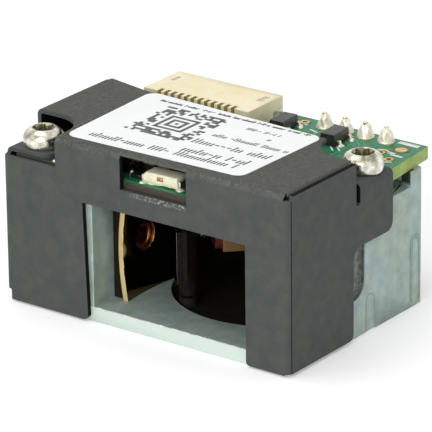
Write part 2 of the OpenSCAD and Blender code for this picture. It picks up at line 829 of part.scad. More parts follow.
// Solder cones: the flank runs from the pad to a blunt tip at the end of the pin
module solder_joints() {
    color([0.85, 0.85, 0.82])
        for (i = [0:pin_n - 1])
            translate([joint_x(i), joint_row_y, board_top]) rotate_extrude()
                polygon(concat([[pin_d / 2, 0], [joint_r, 0]],
                    [for (t = [0.1:0.15:0.85]) [joint_tip_r + (joint_r - joint_tip_r) * pow(1 - t, 0.9),
                        joint_h * t]], [[joint_tip_r, joint_h * 0.95], [pin_d / 2, joint_h]]));
}

// Laser

module laser_barrel() {
    color([0.72, 0.50, 0.28]) translate([0, beam_y, beam_z]) rotate([0, 90, 0]) difference() {
        union() {
            translate([0, 0, block_l]) cylinder(d = barrel_d, h = barrel_len);
            translate([0, 0, optics_l]) cylinder(d = nose_d, h = nose_end - optics_l);
        }
        translate([0, 0, optics_l - lens_back - cut])
            cylinder(d = nose_d - 2 * nose_wall, h = nose_end - optics_l + lens_back + 2 * cut);
        translate([0, 0, block_l - cut]) cylinder(d = 3.8, h = barrel_len - lens_back + cut);
    }
}

module laser_diode() {
    color([0.78, 0.74, 0.62]) translate([0, beam_y, beam_z]) rotate([0, 90, 0]) {
        translate([0, 0, flange_l]) cylinder(d = barrel_d, h = block_l - flange_l);
        translate([0, 0, block_l]) cylinder(d = 3.55, h = 2.3);
    }
}

module laser_lens() {
    color([0.75, 0.85, 0.90, 0.5]) translate([optics_l - lens_back, beam_y, beam_z]) rotate([0, 90, 0])
        cylinder(d = nose_d - 2 * nose_wall, h = lens_t);
}

// Three leads that leave the back of the diode and rise to the board
module laser_leads() {
    color([0.78, 0.72, 0.50])
        for (y = [-1.1, 0, 1.1]) translate([flange_l - 0.7, beam_y + y - 0.2, beam_z - 0.2]) {
            cube([0.7, 0.4, 0.4]);
            cube([0.4, 0.4, board_z - beam_z + 0.2]);
        }
}

// Clearance bore for the nose of the laser barrel
module nose_bore() {
    translate([optics_l - cut, beam_y, beam_z]) rotate([0, 90, 0])
        cylinder(d = nose_d + 2 * nose_gap, h = collect_block + 2 * cut);
}

// Black bracket between the partition and the back of the collecting mirror
module mirror_bracket() {
    w = collect_w - 2 * bracket_inset;
    color([0.09, 0.09, 0.10]) difference() {
        translate([optics_l, beam_y - w / 2, floor_t]) cube([collect_block, w, collect_h]);
        translate(collect_at) sphere(collect_r + collect_t, $fn = collect_fn);
        nose_bore();
    }
}

module collecting_mirror() {
    color([0.80, 0.66, 0.36]) difference() {
        intersection() {
            translate([optics_l, beam_y - collect_w / 2, floor_t])
                cube([collect_block, collect_w, collect_h]);
            translate(collect_at) sphere(collect_r + collect_t, $fn = collect_fn);
        }
        translate(collect_at) sphere(collect_r, $fn = collect_fn);
        nose_bore();
    }
}

// Scan carrier: base in the round opening, wall behind the mirror and an arm over it
module carrier_wall_outline() {
    difference() {
        well_outline(carrier_gap);
        well_outline(carrier_gap + carrier_wall);
        translate([well_cx - well_r, 0]) square([2 * well_r, well_cy - 3.5]);
        translate([well_cx, 0]) square([well_r, lug_y - lug_r]);
    }
}

module arm_outline() {
    intersection() {
        union() {
            at_pivot() {
                circle(arm_r);
                translate([0, -arm_r]) square([coil_off, 2 * arm_r]);
                translate([coil_off - 0.3, -coil_w / 2 - 0.5]) square([coil_len + 1.2, coil_w + 1]);
            }
            polygon([[well_cx - lug_chord, cast_b], [well_cx + 3, cast_b], [well_cx + 1, pivot_y + 5.5],
                [pivot_x + 1, pivot_y + 3.5]]);
        }
        translate([optics_l, 0]) square([optics_r - optics_l, bay_b - carrier_gap]);
    }
}

module scan_carrier() {
    color([0.10, 0.10, 0.11]) difference() {
        union() {
            translate([0, 0, ledge_h]) linear_extrude(carrier_t) well_outline(carrier_gap);
            translate([0, 0, ledge_h]) linear_extrude(arm_z + arm_t - ledge_h) carrier_wall_outline();
            translate([pivot_x, pivot_y, ledge_h]) cylinder(r = boss_r, h = boss_top - ledge_h);
            translate([0, 0, arm_z]) linear_extrude(arm_t) arm_outline();
            // Lugs on the floor of the casting
            translate([0, 0, floor_t]) linear_extrude(lug_t) {
                for (x = [lug_xl, lug_xr]) translate([x, lug_y]) circle(lug_r);
                translate([lug_xl, lug_y - lug_r]) square([lug_end_l - lug_xl, 2 * lug_r]);
                translate([lug_end_r, lug_y - lug_r]) square([lug_xr - lug_end_r, 2 * lug_r]);
            }
        }
        translate([pivot_x, pivot_y, well_floor - carrier_t + 0.2]) cylinder(d = pivot_d, h = seat_h);
        for (x = [lug_xl, lug_xr])
            translate([x, lug_y, 0]) cylinder(d = carrier_screw_d + 2 * screw_gap, h = seat_h);
        at_pivot() for (y = [-1, 1])
            translate([coil_lead_x, y, arm_z - cut]) cylinder(d = coil_lead_d + 0.3, h = arm_t + 2 * cut);
    }
}

module carrier_screws() {
    color([0.75, 0.75, 0.73])
        for (x = [lug_xl, lug_xr]) translate([x, lug_y, 0]) {
            translate([0, 0, 0.3]) cylinder(d = carrier_screw_d, h = floor_t + lug_t - 0.3);
            translate([0, 0, floor_t + lug_t]) difference() {
                cylinder(r = lug_r - 0.05, h = 0.9);
                translate([0, 0, 0.45]) cylinder(d = 1, h = cut, $fn = 6);
            }
        }
}

module pivot_pin() {
    color([0.80, 0.80, 0.80]) translate([pivot_x, pivot_y, well_floor - carrier_t + 0.2])
        cylinder(d = pivot_d, h = arm_z + arm_t - (well_floor - carrier_t + 0.2));
}

// Swinging group: barrel on the pin, plate behind the mirror and a stub for the magnet
module mirror_holder() {
    color([0.12, 0.12, 0.13]) at_pivot() difference() {
        union() {
            translate([0, 0, holder_z]) cylinder(d = holder_d, h = holder_top - holder_z);
            translate([-scan_off, -scan_w / 2, mirror_z]) cube([holder_t, scan_w, scan_h]);
            translate([0, 0, magnet_z]) rotate([0, 90, 0]) cylinder(d = magnet_d - 0.6, h = magnet_x);
        }
        translate([0, 0, holder_z - cut]) cylinder(d = holder_bore, h = seat_h);
    }
}

module scan_mirror() {
    color([0.70, 0.75, 0.80]) at_pivot()
        translate([-scan_off - scan_t, -scan_w / 2, mirror_z]) cube([scan_t, scan_w, scan_h]);
}

module drive_magnet() {
    color([0.72, 0.72, 0.74]) at_pivot()
        translate([magnet_x, 0, magnet_z]) rotate([0, 90, 0]) cylinder(d = magnet_d, h = magnet_t);
}

// Square ring or block centred on the coil's axis, from x0 over length l
module coil_block(x0, l, w, inner) {
    at_pivot() translate([x0, 0, magnet_z]) rotate([90, 0, 90]) linear_extrude(l) difference() {
        square(w, center = true);
        square(inner, center = true);
    }
}

module coil_bobbin() {
    color([0.20, 0.19, 0.18]) {
        coil_block(coil_off, coil_len, core_w, core_w - 0.8);
        coil_block(coil_off + coil_len - flange_t, flange_t, coil_w, core_w - 0.8);
    }
}

module drive_coil() {
    color([0.62, 0.27, 0.16]) coil_block(coil_off, coil_len - flange_t, winding_w, core_w);
}

module coil_tape() {
    color([0.85, 0.60, 0.22])
        coil_block(tape_x, coil_off + coil_len - flange_t - tape_x, coil_w, winding_w);
}

module coil_leads() {
    color([0.70, 0.35, 0.20]) at_pivot() for (y = [-1, 1]) {
        translate([coil_off + coil_len, y, magnet_z + 1.4]) rotate([0, 90, 0])
            cylinder(d = coil_lead_d, h = coil_lead_x - coil_off - coil_len);
        translate([coil_lead_x, y, magnet_z + 1.4 - coil_lead_d / 2])
            cylinder(d = coil_lead_d, h = board_z - magnet_z - 1.4 + coil_lead_d / 2);
    }
}

// Detector: a frame open to the collecting mirror, the filter in its mouth and the diode behind
module detector_holder() {
    color([0.12, 0.12, 0.13]) difference() {
        translate([detector_x - detector_w / 2, detector_y - detector_d / 2, detector_z])
            cube([detector_w, detector_d, board_z - detector_z]);
        translate([detector_x - detector_w, detector_y - detector_d / 2 + detector_rim,
            detector_z + detector_rim])
            cube([2 * detector_w, detector_d - 2 * detector_rim, board_z - detector_z - 2 * detector_rim]);
    }
}

// Plate that fills the detector's frame over a length l from x0
module detector_plate(x0, l) {
    translate([x0, detector_y - detector_d / 2 + detector_rim, detector_z + detector_rim])
        cube([l, detector_d - 2 * detector_rim, board_z - detector_z - 2 * detector_rim]);
}

module photodiode() {
    color([0.16, 0.16, 0.22]) detector_plate(detector_x + detector_w / 2 - 1.1, 1.1);
}

module optical_filter() {
    color([0.60, 0.08, 0.08]) detector_plate(detector_x - detector_w / 2, 0.5);
}

module detector_leads() {
    color([0.78, 0.78, 0.76])
        for (y = [-1, 0.6]) translate([detector_x + detector_w / 2, detector_y + y, board_z - 1.6]) {
            cube([0.8, 0.4, 0.4]);
            translate([0.4, 0, 0]) cube([0.4, 0.4, 1.6]);
        }
}

// Parts under the cover

module chip_body(at, w, l) {
    translate([at[0] - w / 2, at[1] - l / 2, board_top + chip_lift]) difference() {
        cube([w, l, chip_h]);
        translate([0.9, 0.9, chip_h - 0.1]) cylinder(r = 0.35, h = cut);
    }
}

// Row of n gull-wing leads along y at x = w / 2
module lead_row(n, pitch, w, lead_w) {
    for (i = [0:n - 1]) translate([w / 2, (i - (n - 1) / 2) * pitch, 0]) wing(lead_w, 0.6, 1);
}

module decoder_chip() {
    color([0.13, 0.13, 0.14]) chip_body(chip_a, chip_a_w, chip_a_w);
}

module decoder_chip_leads() {
    color([0.78, 0.78, 0.76]) translate([chip_a[0], chip_a[1], board_top])
        for (a = [0:90:270]) rotate(a) lead_row(chip_a_n, chip_a_pitch, chip_a_w, 0.28);
}

module amplifier_chip() {
    color([0.13, 0.13, 0.14]) chip_body(chip_b, chip_b_w, chip_b_l);
}

module amplifier_leads() {
    color([0.78, 0.78, 0.76]) translate([chip_b[0], chip_b[1], board_top])
        for (a = [0, 180]) rotate(a) lead_row(chip_b_n, chip_b_pitch, chip_b_w, 0.42);
}

module crystal() {
    color([0.80, 0.79, 0.72]) translate([crystal_at[0], crystal_at[1], board_top])
        linear_extrude(crystal_h)
            round_rect(-crystal_l / 2, -crystal_w / 2, crystal_l / 2, crystal_w / 2, crystal_r);
}

// Block with its length along x, centred in x and y
module chip_part(at, h) {
    translate([at[0] - chip_part_l / 2, at[1] - chip_part_w / 2, board_top])
        cube([chip_part_l, chip_part_w, h]);
}

module ceramic_capacitors() {
    color([0.80, 0.73, 0.58]) {
        for (i = [0:4]) chip_part([row_x + part_pitch * i, row_y + row_gap], capacitor_h);
        for (i = [0:3]) chip_part([side_row_x, row_y + side_row_pitch * i], capacitor_h);
    }
}

module resistors() {
    color([0.17, 0.17, 0.19]) {
        for (i = [0:2]) chip_part([row_x + part_pitch * i, row_y], resistor_h);
        for (i = [0:4]) chip_part([back_row_x + part_pitch * i, back_row_y], resistor_h);
        // Two that show in the notch and in the indicator slot
        chip_part([left + 6.9, 2.2], resistor_h);
        chip_part([left + 17.6, 2.6], resistor_h);
    }
}

// Drawn with the middle of the depth at y = 0
module placed() {
    translate([0, -board_b / 2, 0]) children();
}

placed() chassis();
placed() cover();
placed() label();
placed() circuit_board();
placed() board_pads();
placed() left_screw();
placed() right_screw();
placed() connector_housing();
placed() connector_contacts();
placed() connector_tabs();
placed() indicator_led();
placed() indicator_terminals();
placed() rear_transistor();
placed() rear_transistor_leads();
placed() side_transistor();
placed() side_transistor_leads();
placed() header_pins();
placed() solder_joints();
placed() laser_barrel();
placed() laser_diode();
placed() laser_lens();
placed() laser_leads();
placed() mirror_bracket();
placed() collecting_mirror();
placed() scan_carrier();
placed() carrier_screws();
placed() pivot_pin();
placed() scan_mirror();
placed() mirror_holder();
placed() drive_magnet();
placed() coil_bobbin();
placed() drive_coil();
placed() coil_tape();
placed() coil_leads();
placed() detector_holder();
placed() photodiode();
placed() optical_filter();
placed() detector_leads();
placed() decoder_chip();
placed() decoder_chip_leads();
placed() amplifier_chip();
placed() amplifier_leads();
placed() crystal();
placed() ceramic_capacitors();
placed() resistors();
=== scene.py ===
import bmesh
import bpy
import json
import numpy as np
from math import cos, pi, radians, sin
from mathutils import Matrix, Vector

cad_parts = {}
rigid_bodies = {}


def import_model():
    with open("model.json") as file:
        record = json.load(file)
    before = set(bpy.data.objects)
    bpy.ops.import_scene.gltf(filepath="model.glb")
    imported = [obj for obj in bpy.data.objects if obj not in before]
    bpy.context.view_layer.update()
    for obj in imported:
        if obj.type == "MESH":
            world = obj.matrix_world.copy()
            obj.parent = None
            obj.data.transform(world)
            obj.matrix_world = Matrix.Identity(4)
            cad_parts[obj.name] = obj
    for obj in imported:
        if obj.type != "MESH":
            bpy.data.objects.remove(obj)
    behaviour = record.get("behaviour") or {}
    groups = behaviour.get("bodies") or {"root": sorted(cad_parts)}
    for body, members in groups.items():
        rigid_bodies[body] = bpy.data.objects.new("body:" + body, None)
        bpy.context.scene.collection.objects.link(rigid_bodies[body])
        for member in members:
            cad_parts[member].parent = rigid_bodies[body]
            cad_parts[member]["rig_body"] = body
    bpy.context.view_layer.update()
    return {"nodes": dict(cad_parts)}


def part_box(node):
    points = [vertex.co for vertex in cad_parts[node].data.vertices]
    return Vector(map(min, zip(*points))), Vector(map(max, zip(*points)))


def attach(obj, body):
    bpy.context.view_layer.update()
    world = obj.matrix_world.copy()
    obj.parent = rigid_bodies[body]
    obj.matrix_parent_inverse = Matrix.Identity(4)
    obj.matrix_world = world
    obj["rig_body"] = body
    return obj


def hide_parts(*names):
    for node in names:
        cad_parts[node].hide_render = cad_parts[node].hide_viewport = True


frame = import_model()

mm = 0.001
scene = bpy.context.scene
scene.view_settings.view_transform = "Standard"

# Camera: a long lens that looks down at the scan window's right-hand corner.
# Its place comes from the photograph's perspective, in the engine's own frame.
turn, tilt, roll = radians(36.791), radians(21.375), radians(-0.672)
backward = Vector((sin(turn) * cos(tilt), -cos(turn) * cos(tilt), sin(tilt)))
level = Vector((cos(turn), sin(turn), 0))
above = backward.cross(level)
right = cos(roll) * level + sin(roll) * above
up = cos(roll) * above - sin(roll) * level
lens = bpy.data.cameras.new("camera")
lens.lens = 341.19
lens.sensor_width = 36
lens.clip_start = 0.02
lens.clip_end = 20
eye = Vector((270.04, -362.52, 187.47)) * mm
camera = bpy.data.objects.new("camera", lens)
camera.matrix_world = Matrix.Translation(eye) @ Matrix((right, up, backward)).transposed().to_4x4()
scene.collection.objects.link(camera)
scene.camera = camera


# Surroundings: a white table in a white room. Two soft lamps add to the even light of the
# room, so that a face is a little darker the more it turns away from them.
def colour(code):
    """Linear RGBA from an sRGB hex code."""
    parts = [int(code[i:i + 2], 16) / 255 for i in (1, 3, 5)]
    return [c / 12.92 if c <= 0.04045 else ((c + 0.055) / 1.055) ** 2.4 for c in parts] + [1]


def add(tree, kind, links=(), **settings):
    """A node of a kind; settings name its properties or inputs, links are (input, output socket)."""
    node = tree.nodes.new("ShaderNode" + kind)
    for name, value in settings.items():
        if hasattr(node, name):
            setattr(node, name, value)
        else:
            node.inputs[name.replace("_", " ")].default_value = value
    for name, source in links:
        tree.links.new(source, node.inputs[name])
    return node


def finish_of(name, base, roughness, metallic=0.0, **sockets):
    """A material with its Principled shader: returns material, tree and shader."""
    made = bpy.data.materials.new(name)
    made.use_nodes = True
    shader = made.node_tree.nodes["Principled BSDF"]
    shader.inputs["Base Color"].default_value = colour(base)
    shader.inputs["Roughness"].default_value = roughness
    shader.inputs["Metallic"].default_value = metallic
    for socket, value in sockets.items():
        shader.inputs[socket.replace("_", " ")].default_value = value
    return made, made.node_tree, shader


def looked_at(tree):
    """One for a ray of the camera, of a reflection or through glass, zero for one that carries light."""
    ray = add(tree, "LightPath").outputs
    seen = ray["Is Camera Ray"]
    for other in (ray["Is Glossy Ray"], ray["Is Transmission Ray"]):
        seen = add(tree, "Math", [(0, seen), (1, other)], operation="MAXIMUM").outputs["Value"]
    return seen


table_half, table_top = 3.0, -0.02 * mm
table_mesh = bpy.data.meshes.new("table")
table_mesh.from_pydata([(-table_half, -table_half, table_top), (table_half, -table_half, table_top),
    (table_half, table_half, table_top), (-table_half, table_half, table_top)], [], [(0, 1, 2, 3)])
table = bpy.data.objects.new("table", table_mesh)
scene.collection.objects.link(table)
table_white, tree, shader = finish_of("white_table", "#f4f4f4", 0.9)
# The camera and every reflection see the table a little brighter than the lamps make it, so
# that it is as white as the room.
shader.inputs["Emission Color"].default_value = (1, 1, 1, 1)
glow = add(tree, "MapRange", [("Value", looked_at(tree))], To_Max=0.22)
tree.links.new(glow.outputs["Result"], shader.inputs["Emission Strength"])
# From below the table can be seen through, so that the engine's underside shows.
below = add(tree, "NewGeometry").outputs["Backfacing"]
one_sided = add(tree, "MixShader", [("Fac", below)])
tree.links.new(shader.outputs["BSDF"], one_sided.inputs[1])
tree.links.new(add(tree, "BsdfTransparent").outputs["BSDF"], one_sided.inputs[2])
tree.links.new(one_sided.outputs["Shader"], tree.nodes["Material Output"].inputs["Surface"])
table_mesh.materials.append(table_white)

room = bpy.data.worlds.new("room")
room.use_nodes = True
scene.world = room
tree = room.node_tree
wall = tree.nodes["Background"]
wall.inputs["Color"].default_value = (1, 1, 1, 1)
bright = add(tree, "MapRange", [("Value", looked_at(tree))], To_Min=0.66, To_Max=1.0)
tree.links.new(bright.outputs["Result"], wall.inputs["Strength"])


def lamp(name, place, aim, size, watts):
    """A square soft lamp at place that faces aim, in millimetres from the engine."""
    light = bpy.data.lights.new(name, "AREA")
    light.size = size * mm
    light.energy = watts
    holder = bpy.data.objects.new(name, light)
    holder.location = Vector(place) * mm
    holder.rotation_euler = (Vector(aim) - Vector(place)).to_track_quat("-Z", "Y").to_euler()
    scene.collection.objects.link(holder)


engine_middle = (0, 0, 10)
lamp("overhead_lamp", (-120, -80, 420), engine_middle, 260, 0.45)
lamp("front_lamp", (90, -370, 180), engine_middle, 220, 0.72)


def box_of(node):
    """Lowest and highest corner of a CAD node, in millimetres."""
    low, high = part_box(node)
    return np.array(low) / mm, np.array(high) / mm


def seat(piece, carrier, *stands_for):
    """Puts a piece on the body of a CAD node, and hides the named CAD nodes that it stands in for."""
    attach(piece, frame["nodes"][carrier]["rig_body"])
    if stands_for:
        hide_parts(*stands_for)
    return piece


narrowest_corner = 25


def softened(node, radius, *finishes, steps=2, angle=35):
    """A CAD node with its sharp edges rounded to a radius in millimetres.

    Its triangles are merged and those of one plane become one face; then each edge that
    turns by more than the angle becomes an arc of that radius in so many steps. An edge that
    ends in the narrowest corners stays sharp, because an arc there would shoot past its piece.
    Angles are in degrees."""
    mesh = frame["nodes"][node].data.copy()
    mesh.name = node + "_finished"
    for layer in ("custom_normal", "sharp_edge", "sharp_face"):
        if layer in mesh.attributes:
            mesh.attributes.remove(mesh.attributes[layer])
    work = bmesh.new()
    work.from_mesh(mesh)
    bmesh.ops.remove_doubles(work, verts=work.verts, dist=0.001 * mm)
    bmesh.ops.dissolve_limit(work, angle_limit=radians(0.5), verts=work.verts, edges=work.edges)
    for face in work.faces:
        face.smooth = True
    rounded = work.edges.layers.float.new("bevel_weight_edge")
    for edge in work.edges:
        corners = [loop for face in edge.link_faces for loop in face.loops if loop.vert in edge.verts]
        open_ends = min(corner.calc_angle() for corner in corners) > radians(narrowest_corner)
        edge[rounded] = open_ends and edge.calc_face_angle(0) > radians(angle)
    work.to_mesh(mesh)
    work.free()
    mesh.materials.clear()
    for finish in finishes:
        mesh.materials.append(finish)
    piece = bpy.data.objects.new(node + "_finished", mesh)
    scene.collection.objects.link(piece)
    rounding = piece.modifiers.new("rounding", "BEVEL")
    rounding.width = radius * mm
    rounding.segments = steps
    rounding.limit_method = "WEIGHT"
    rounding.use_clamp_overlap = False
    piece.modifiers.new("even_shading", "WEIGHTED_NORMAL").keep_sharp = True
    return seat(piece, node, node)


def grained(tree, shader, grain, height, detail=2.0):
    """Relief of a surface: noise with grains of a size, as bumps of a height, in millimetres."""
    place = add(tree, "TexCoord").outputs["Object"]
    noise = add(tree, "TexNoise", [("Vector", place)], Scale=1 / (grain * mm), Detail=detail)
    bump = add(tree, "Bump", [("Height", noise.outputs["Fac"])], Distance=height * mm)
    tree.links.new(bump.outputs["Normal"], shader.inputs["Normal"])


def band(tree, axis, low, high, soft=0.15, within=None):
    """One between two places on an axis, in millimetres, and zero outside, with soft ends.

    Another mask may limit it further."""
    place = add(tree, "SeparateXYZ", [("Vector", add(tree, "TexCoord").outputs["Object"])]).outputs[axis]
    rises = add(tree, "MapRange", [("Value", place)], From_Min=(low - soft) * mm, From_Max=low * mm)
    falls = add(tree, "MapRange", [("Value", place)], From_Min=(high + soft) * mm, From_Max=high * mm)
    if within:
        tree.links.new(within, rises.inputs["To Max"])
    rise, fall = rises.outputs["Result"], falls.outputs["Result"]
    return add(tree, "Math", [(0, rise), (1, fall)], operation="MULTIPLY").outputs["Value"]


def clouded(tree, shader, one, other, patch, stretch=(1, 1, 1), detail=3.0):
    """Colour of a surface: it wanders between two colours over patches of a size in millimetres."""
    place = add(tree, "TexCoord").outputs["Object"]
    drawn = add(tree, "Mapping", [("Vector", place)], Scale=stretch).outputs["Vector"]
    noise = add(tree, "TexNoise", [("Vector", drawn)], Scale=1 / (patch * mm), Detail=detail)
    spread = add(tree, "MapRange", [("Value", noise.outputs["Fac"])], From_Min=0.3, From_Max=0.7)
    mix = add(tree, "MixRGB", [("Fac", spread.outputs["Result"])], Color1=colour(one), Color2=colour(other))
    tree.links.new(mix.outputs["Color"], shader.inputs["Base Color"])
    return mix.outputs["Color"]


# Die-cast zinc: a dull bright metal with soft clouds, tarnished a little brown or blue in places.
# The die's skin gives it a fine relief, drawn 0.4 mm coarse so that it shows. The front face of
# the base was dressed after casting, which leaves it paler.
zinc, tree, shader = finish_of("die_cast_zinc", "#9fafa8", 0.55, 0.35)
tarnish = clouded(tree, shader, "#a5a896", "#9cb4ba", 3.0, detail=4)
skin_tone = clouded(tree, shader, "#8d9f98", "#b3c3bc", 1.8, detail=6)
skin_tone = add(tree, "MixRGB", [("Color1", skin_tone), ("Color2", tarnish)], Fac=0.3).outputs["Color"]
grained(tree, shader, 0.4, 0.03)
cast_low, cast_high = box_of("chassis")
base_top = 1.85
lip = band(tree, "Z", -1, base_top - 0.05, 0.07, band(tree, "Y", cast_low[1] - 1, cast_low[1] + 0.04, 0.08))
dressed = add(tree, "MixRGB", [("Fac", lip), ("Color1", skin_tone)], Color2=colour("#d2dfd7"))
# Painted shade: the corner that the board covers is painted a dark olive grey.
recess_floor, recess_back, recess_left = 15.3, 11.35, 15
shade_under_board = band(tree, "Z", recess_floor + 0.5, cast_high[2], 0.4,
    band(tree, "Y", 0, recess_back + 0.05, 0.05, band(tree, "X", recess_left, cast_high[0] - 0.3)))
shaded_under_board = add(tree, "MixRGB", [("Fac", shade_under_board), ("Color1", dressed.outputs["Color"])],
    Color2=colour("#35372e"))
# Painted shade: the pocket in the right side is painted darker too, thinner and in patches.
pocket_shade_tone = clouded(tree, shader, "#50544f", "#8b908a", 0.45, detail=6)
pocket_floor, pocket_end, pocket_long = cast_high[0] - 0.6, 0.8, 5
pocket = band(tree, "X", pocket_floor - 0.05, pocket_floor + 0.35, 0.2,
    band(tree, "Y", pocket_end - pocket_long, pocket_end + 0.05, 0.1))
pocket_shaded = add(tree, "MixRGB", [("Fac", pocket), ("Color1", shaded_under_board.outputs["Color"]), ("Color2", pocket_shade_tone)])
tree.links.new(pocket_shaded.outputs["Color"], shader.inputs["Base Color"])
bare = add(tree, "MapRange", [("Value", lip)], To_Min=0.35, To_Max=0.1)
tree.links.new(bare.outputs["Result"], shader.inputs["Metallic"])
softened("chassis", 0.12, zinc)


def surface(name, grids, *finishes, loop=False):
    """A closed mesh from grids of points in millimetres.

    A grid holds rings along its first index. The last point of a ring joins its first, and
    the end rings are closed by a flat face, or joined to each other where loop is true."""
    points, faces, start = [], [], 0
    for grid in grids:
        rings, sides = grid.shape[:2]
        index = start + np.arange(rings * sides).reshape(rings, sides)
        here = index if loop else index[:-1]
        beyond = np.roll(index, -1, 0) if loop else index[1:]
        quads = np.stack([here, np.roll(here, -1, 1), np.roll(beyond, -1, 1), beyond], -1)
        faces += quads.reshape(-1, 4).tolist()
        if not loop:
            faces += [index[0][::-1].tolist(), index[-1].tolist()]
        points.append(grid.reshape(-1, 3))
        start += rings * sides
    mesh = bpy.data.meshes.new(name)
    mesh.from_pydata((np.concatenate(points) * mm).tolist(), [], faces)
    work = bmesh.new()
    work.from_mesh(mesh)
    bmesh.ops.recalc_face_normals(work, faces=work.faces)
    for face in work.faces:
        face.smooth = True
    work.to_mesh(mesh)
    work.free()
    for finish in finishes:
        mesh.materials.append(finish)
    piece = bpy.data.objects.new(name, mesh)
    scene.collection.objects.link(piece)
    return piece


def wander(seed, values, waves, longest):
    """A smooth random curve, mostly from -1 to 1: 1.6 times the mean of sines of random length
    and phase."""
    chance = np.random.default_rng(seed)
    lengths = chance.uniform(0.08, 1, waves)[:, None] * longest
    phases = chance.uniform(0, 2 * pi, waves)[:, None]
    return np.sin(2 * pi * np.ravel(values)[None] / lengths + phases).mean(0).reshape(np.shape(values)) * 1.6


# Rough line along the upper edge of the base: a thread of metal whose radius wanders. Torn zinc
# is bright, with dark oxide in its hollows, and its palest flecks are painted glints.
mouth_left, mouth_right = -8.25, 14.65
along = np.linspace(mouth_left, mouth_right, 520)[:, None]
round_it = np.linspace(0, 2 * pi, 9)[None, :-1]
thread = 0.06 + 0.03 * wander(3, along, 9, 3.0) + 0.035 * wander(4, along, 8, 0.5)
burr = np.stack([along + 0 * round_it, cast_low[1] + 0.05 + thread * np.cos(round_it),
    base_top - 0.02 + thread * np.sin(round_it)], -1)
torn_zinc, tree, shader = finish_of("torn_zinc", "#d9dfd6", 0.4, 0.3)
clouded(tree, shader, "#8d8c7e", "#fbfcf4", 0.9, stretch=(1, 0.3, 0.3), detail=4)
seat(surface("casting_flash", [burr], torn_zinc), "chassis")


# Laser: a brass barrel pressed into the casting, with a lens in its nose and a diode in its
# back. The nose comes through the collecting mirror. Turned brass, tarnished to a copper tone.
brass, tree, shader = finish_of("turned_brass", "#8f5a34", 0.3, 1.0)
clouded(tree, shader, "#7d4a2a", "#d3a070", 0.9)
grained(tree, shader, 0.2, 0.006)
softened("laser_barrel", 0.12, brass, steps=3)

# Gold-plated steel can of the diode: bright, a little worn.
can_gold, tree, shader = finish_of("gold_plated_can", "#d8bd74", 0.25, 1.0)
clouded(tree, shader, "#c7a65a", "#e3cd90", 1.2)
softened("laser_diode", 0.1, can_gold)
softened("laser_leads", 0.06, can_gold)

# Glass lens: clear, with a faint blue coating.
lens_glass, tree, shader = finish_of("coated_glass", "#dfe9f2", 0.02, 0.0, Transmission_Weight=1.0, IOR=1.52,
    Coat_Weight=0.4, Coat_Tint=colour("#b9c8ff"))
grained(tree, shader, 2.0, 0.001)
softened("laser_lens", 0.08, lens_glass)


# Collecting mirror: a moulded concave plate on a black bracket, glued to the casting.
# Polycarbonate with a metal film: bronze and mirror-bright on the dish, so that it looks as dark
# as the space it reflects, and matt gold on the moulded edges.
bronze_film, tree, shader = finish_of("bronze_mirror_film", "#7b6047", 0.1, 1.0)
clouded(tree, shader, "#70563f", "#866a50", 3.0)
film_edge, tree, shader = finish_of("gold_film_on_moulded_edge", "#e0cb8e", 0.5, 0.4)
clouded(tree, shader, "#d3bb78", "#ead8a2", 1.5, stretch=(1, 1, 0.5))
grained(tree, shader, 0.15, 0.006)
collecting_mirror = softened("collecting_mirror", 0.07, bronze_film, film_edge, brass)
barrel_low, barrel_high = box_of("laser_barrel")
nose_place, nose_reach = (barrel_low + barrel_high)[1:] / 2, 2.4
for face in collecting_mirror.data.polygons:
    face.material_index = 0 if face.normal.x > 0.7 else 1
    off_axis = np.array(face.center)[1:] / mm - nose_place
    if face.normal.x < 0.7 and np.hypot(*off_axis) < nose_reach:
        face.material_index = 2

# Black nylon: glass-filled and moulded, matt with a faint sheen.
nylon, tree, shader = finish_of("black_nylon", "#1b1815", 0.6, 0.0, Specular_IOR_Level=0.08)
clouded(tree, shader, "#171411", "#231f1a", 1.2)
grained(tree, shader, 0.12, 0.006)
# The bracket's black also stands for the shade in the gap behind the collecting mirror.
softened("mirror_bracket", 0.1, nylon)


# Scan carrier: the moulding of black nylon that holds the pivot pin and the coil. Two small
# screws hold its lugs to the floor of the casting.
softened("scan_carrier", 0.1, nylon)

# Steel pin, blued and oiled: a dark sheen.
blued_steel, tree, shader = finish_of("blued_steel", "#3a3430", 0.35, 1.0)
clouded(tree, shader, "#302b28", "#48413b", 0.8)
grained(tree, shader, 0.1, 0.003)
softened("pivot_pin", 0.08, blued_steel)

# Small screws: steel with bright zinc plating.
steel, tree, shader = finish_of("zinc_plated_steel", "#b9bab6", 0.3, 1.0)
clouded(tree, shader, "#a5a6a2", "#cbccc8", 0.8)
grained(tree, shader, 0.1, 0.003)
softened("carrier_screws", 0.08, steel)


# Scan mirror group: a front-silvered glass on a moulded holder that swings on the pin, with
# a magnet behind it. It turns by twelve degrees to each side. The glass is a clean mirror. Its
# ground edges are painted near black: painted shade, for the dark space that they reflect.
silver, tree, shader = finish_of("front_silvered_glass", "#dfe3e4", 0.02, 1.0)
clouded(tree, shader, "#d8dcdd", "#e6eaeb", 3.0)
shaded_glass_edge, tree, shader = finish_of("glass_edge_painted_shade", "#161412", 0.6, 0.0, Specular_IOR_Level=0.08)
clouded(tree, shader, "#12100e", "#1d1a16", 0.6)
grained(tree, shader, 0.08, 0.004)
scan_mirror = softened("scan_mirror", 0.05, silver, shaded_glass_edge)
for face in scan_mirror.data.polygons:
    face.material_index = 0 if face.normal.x < -0.6 and face.normal.y < -0.6 else 1
softened("mirror_holder", 0.09, nylon)

# Nickel-plated magnet: sintered, so its plating is bright with soft pits.
nickel, tree, shader = finish_of("nickel_plate", "#cfcdc4", 0.2, 1.0)
clouded(tree, shader, "#c3c1b7", "#dad8cf", 0.9)
grained(tree, shader, 0.18, 0.008)
softened("drive_magnet", 0.12, nickel)


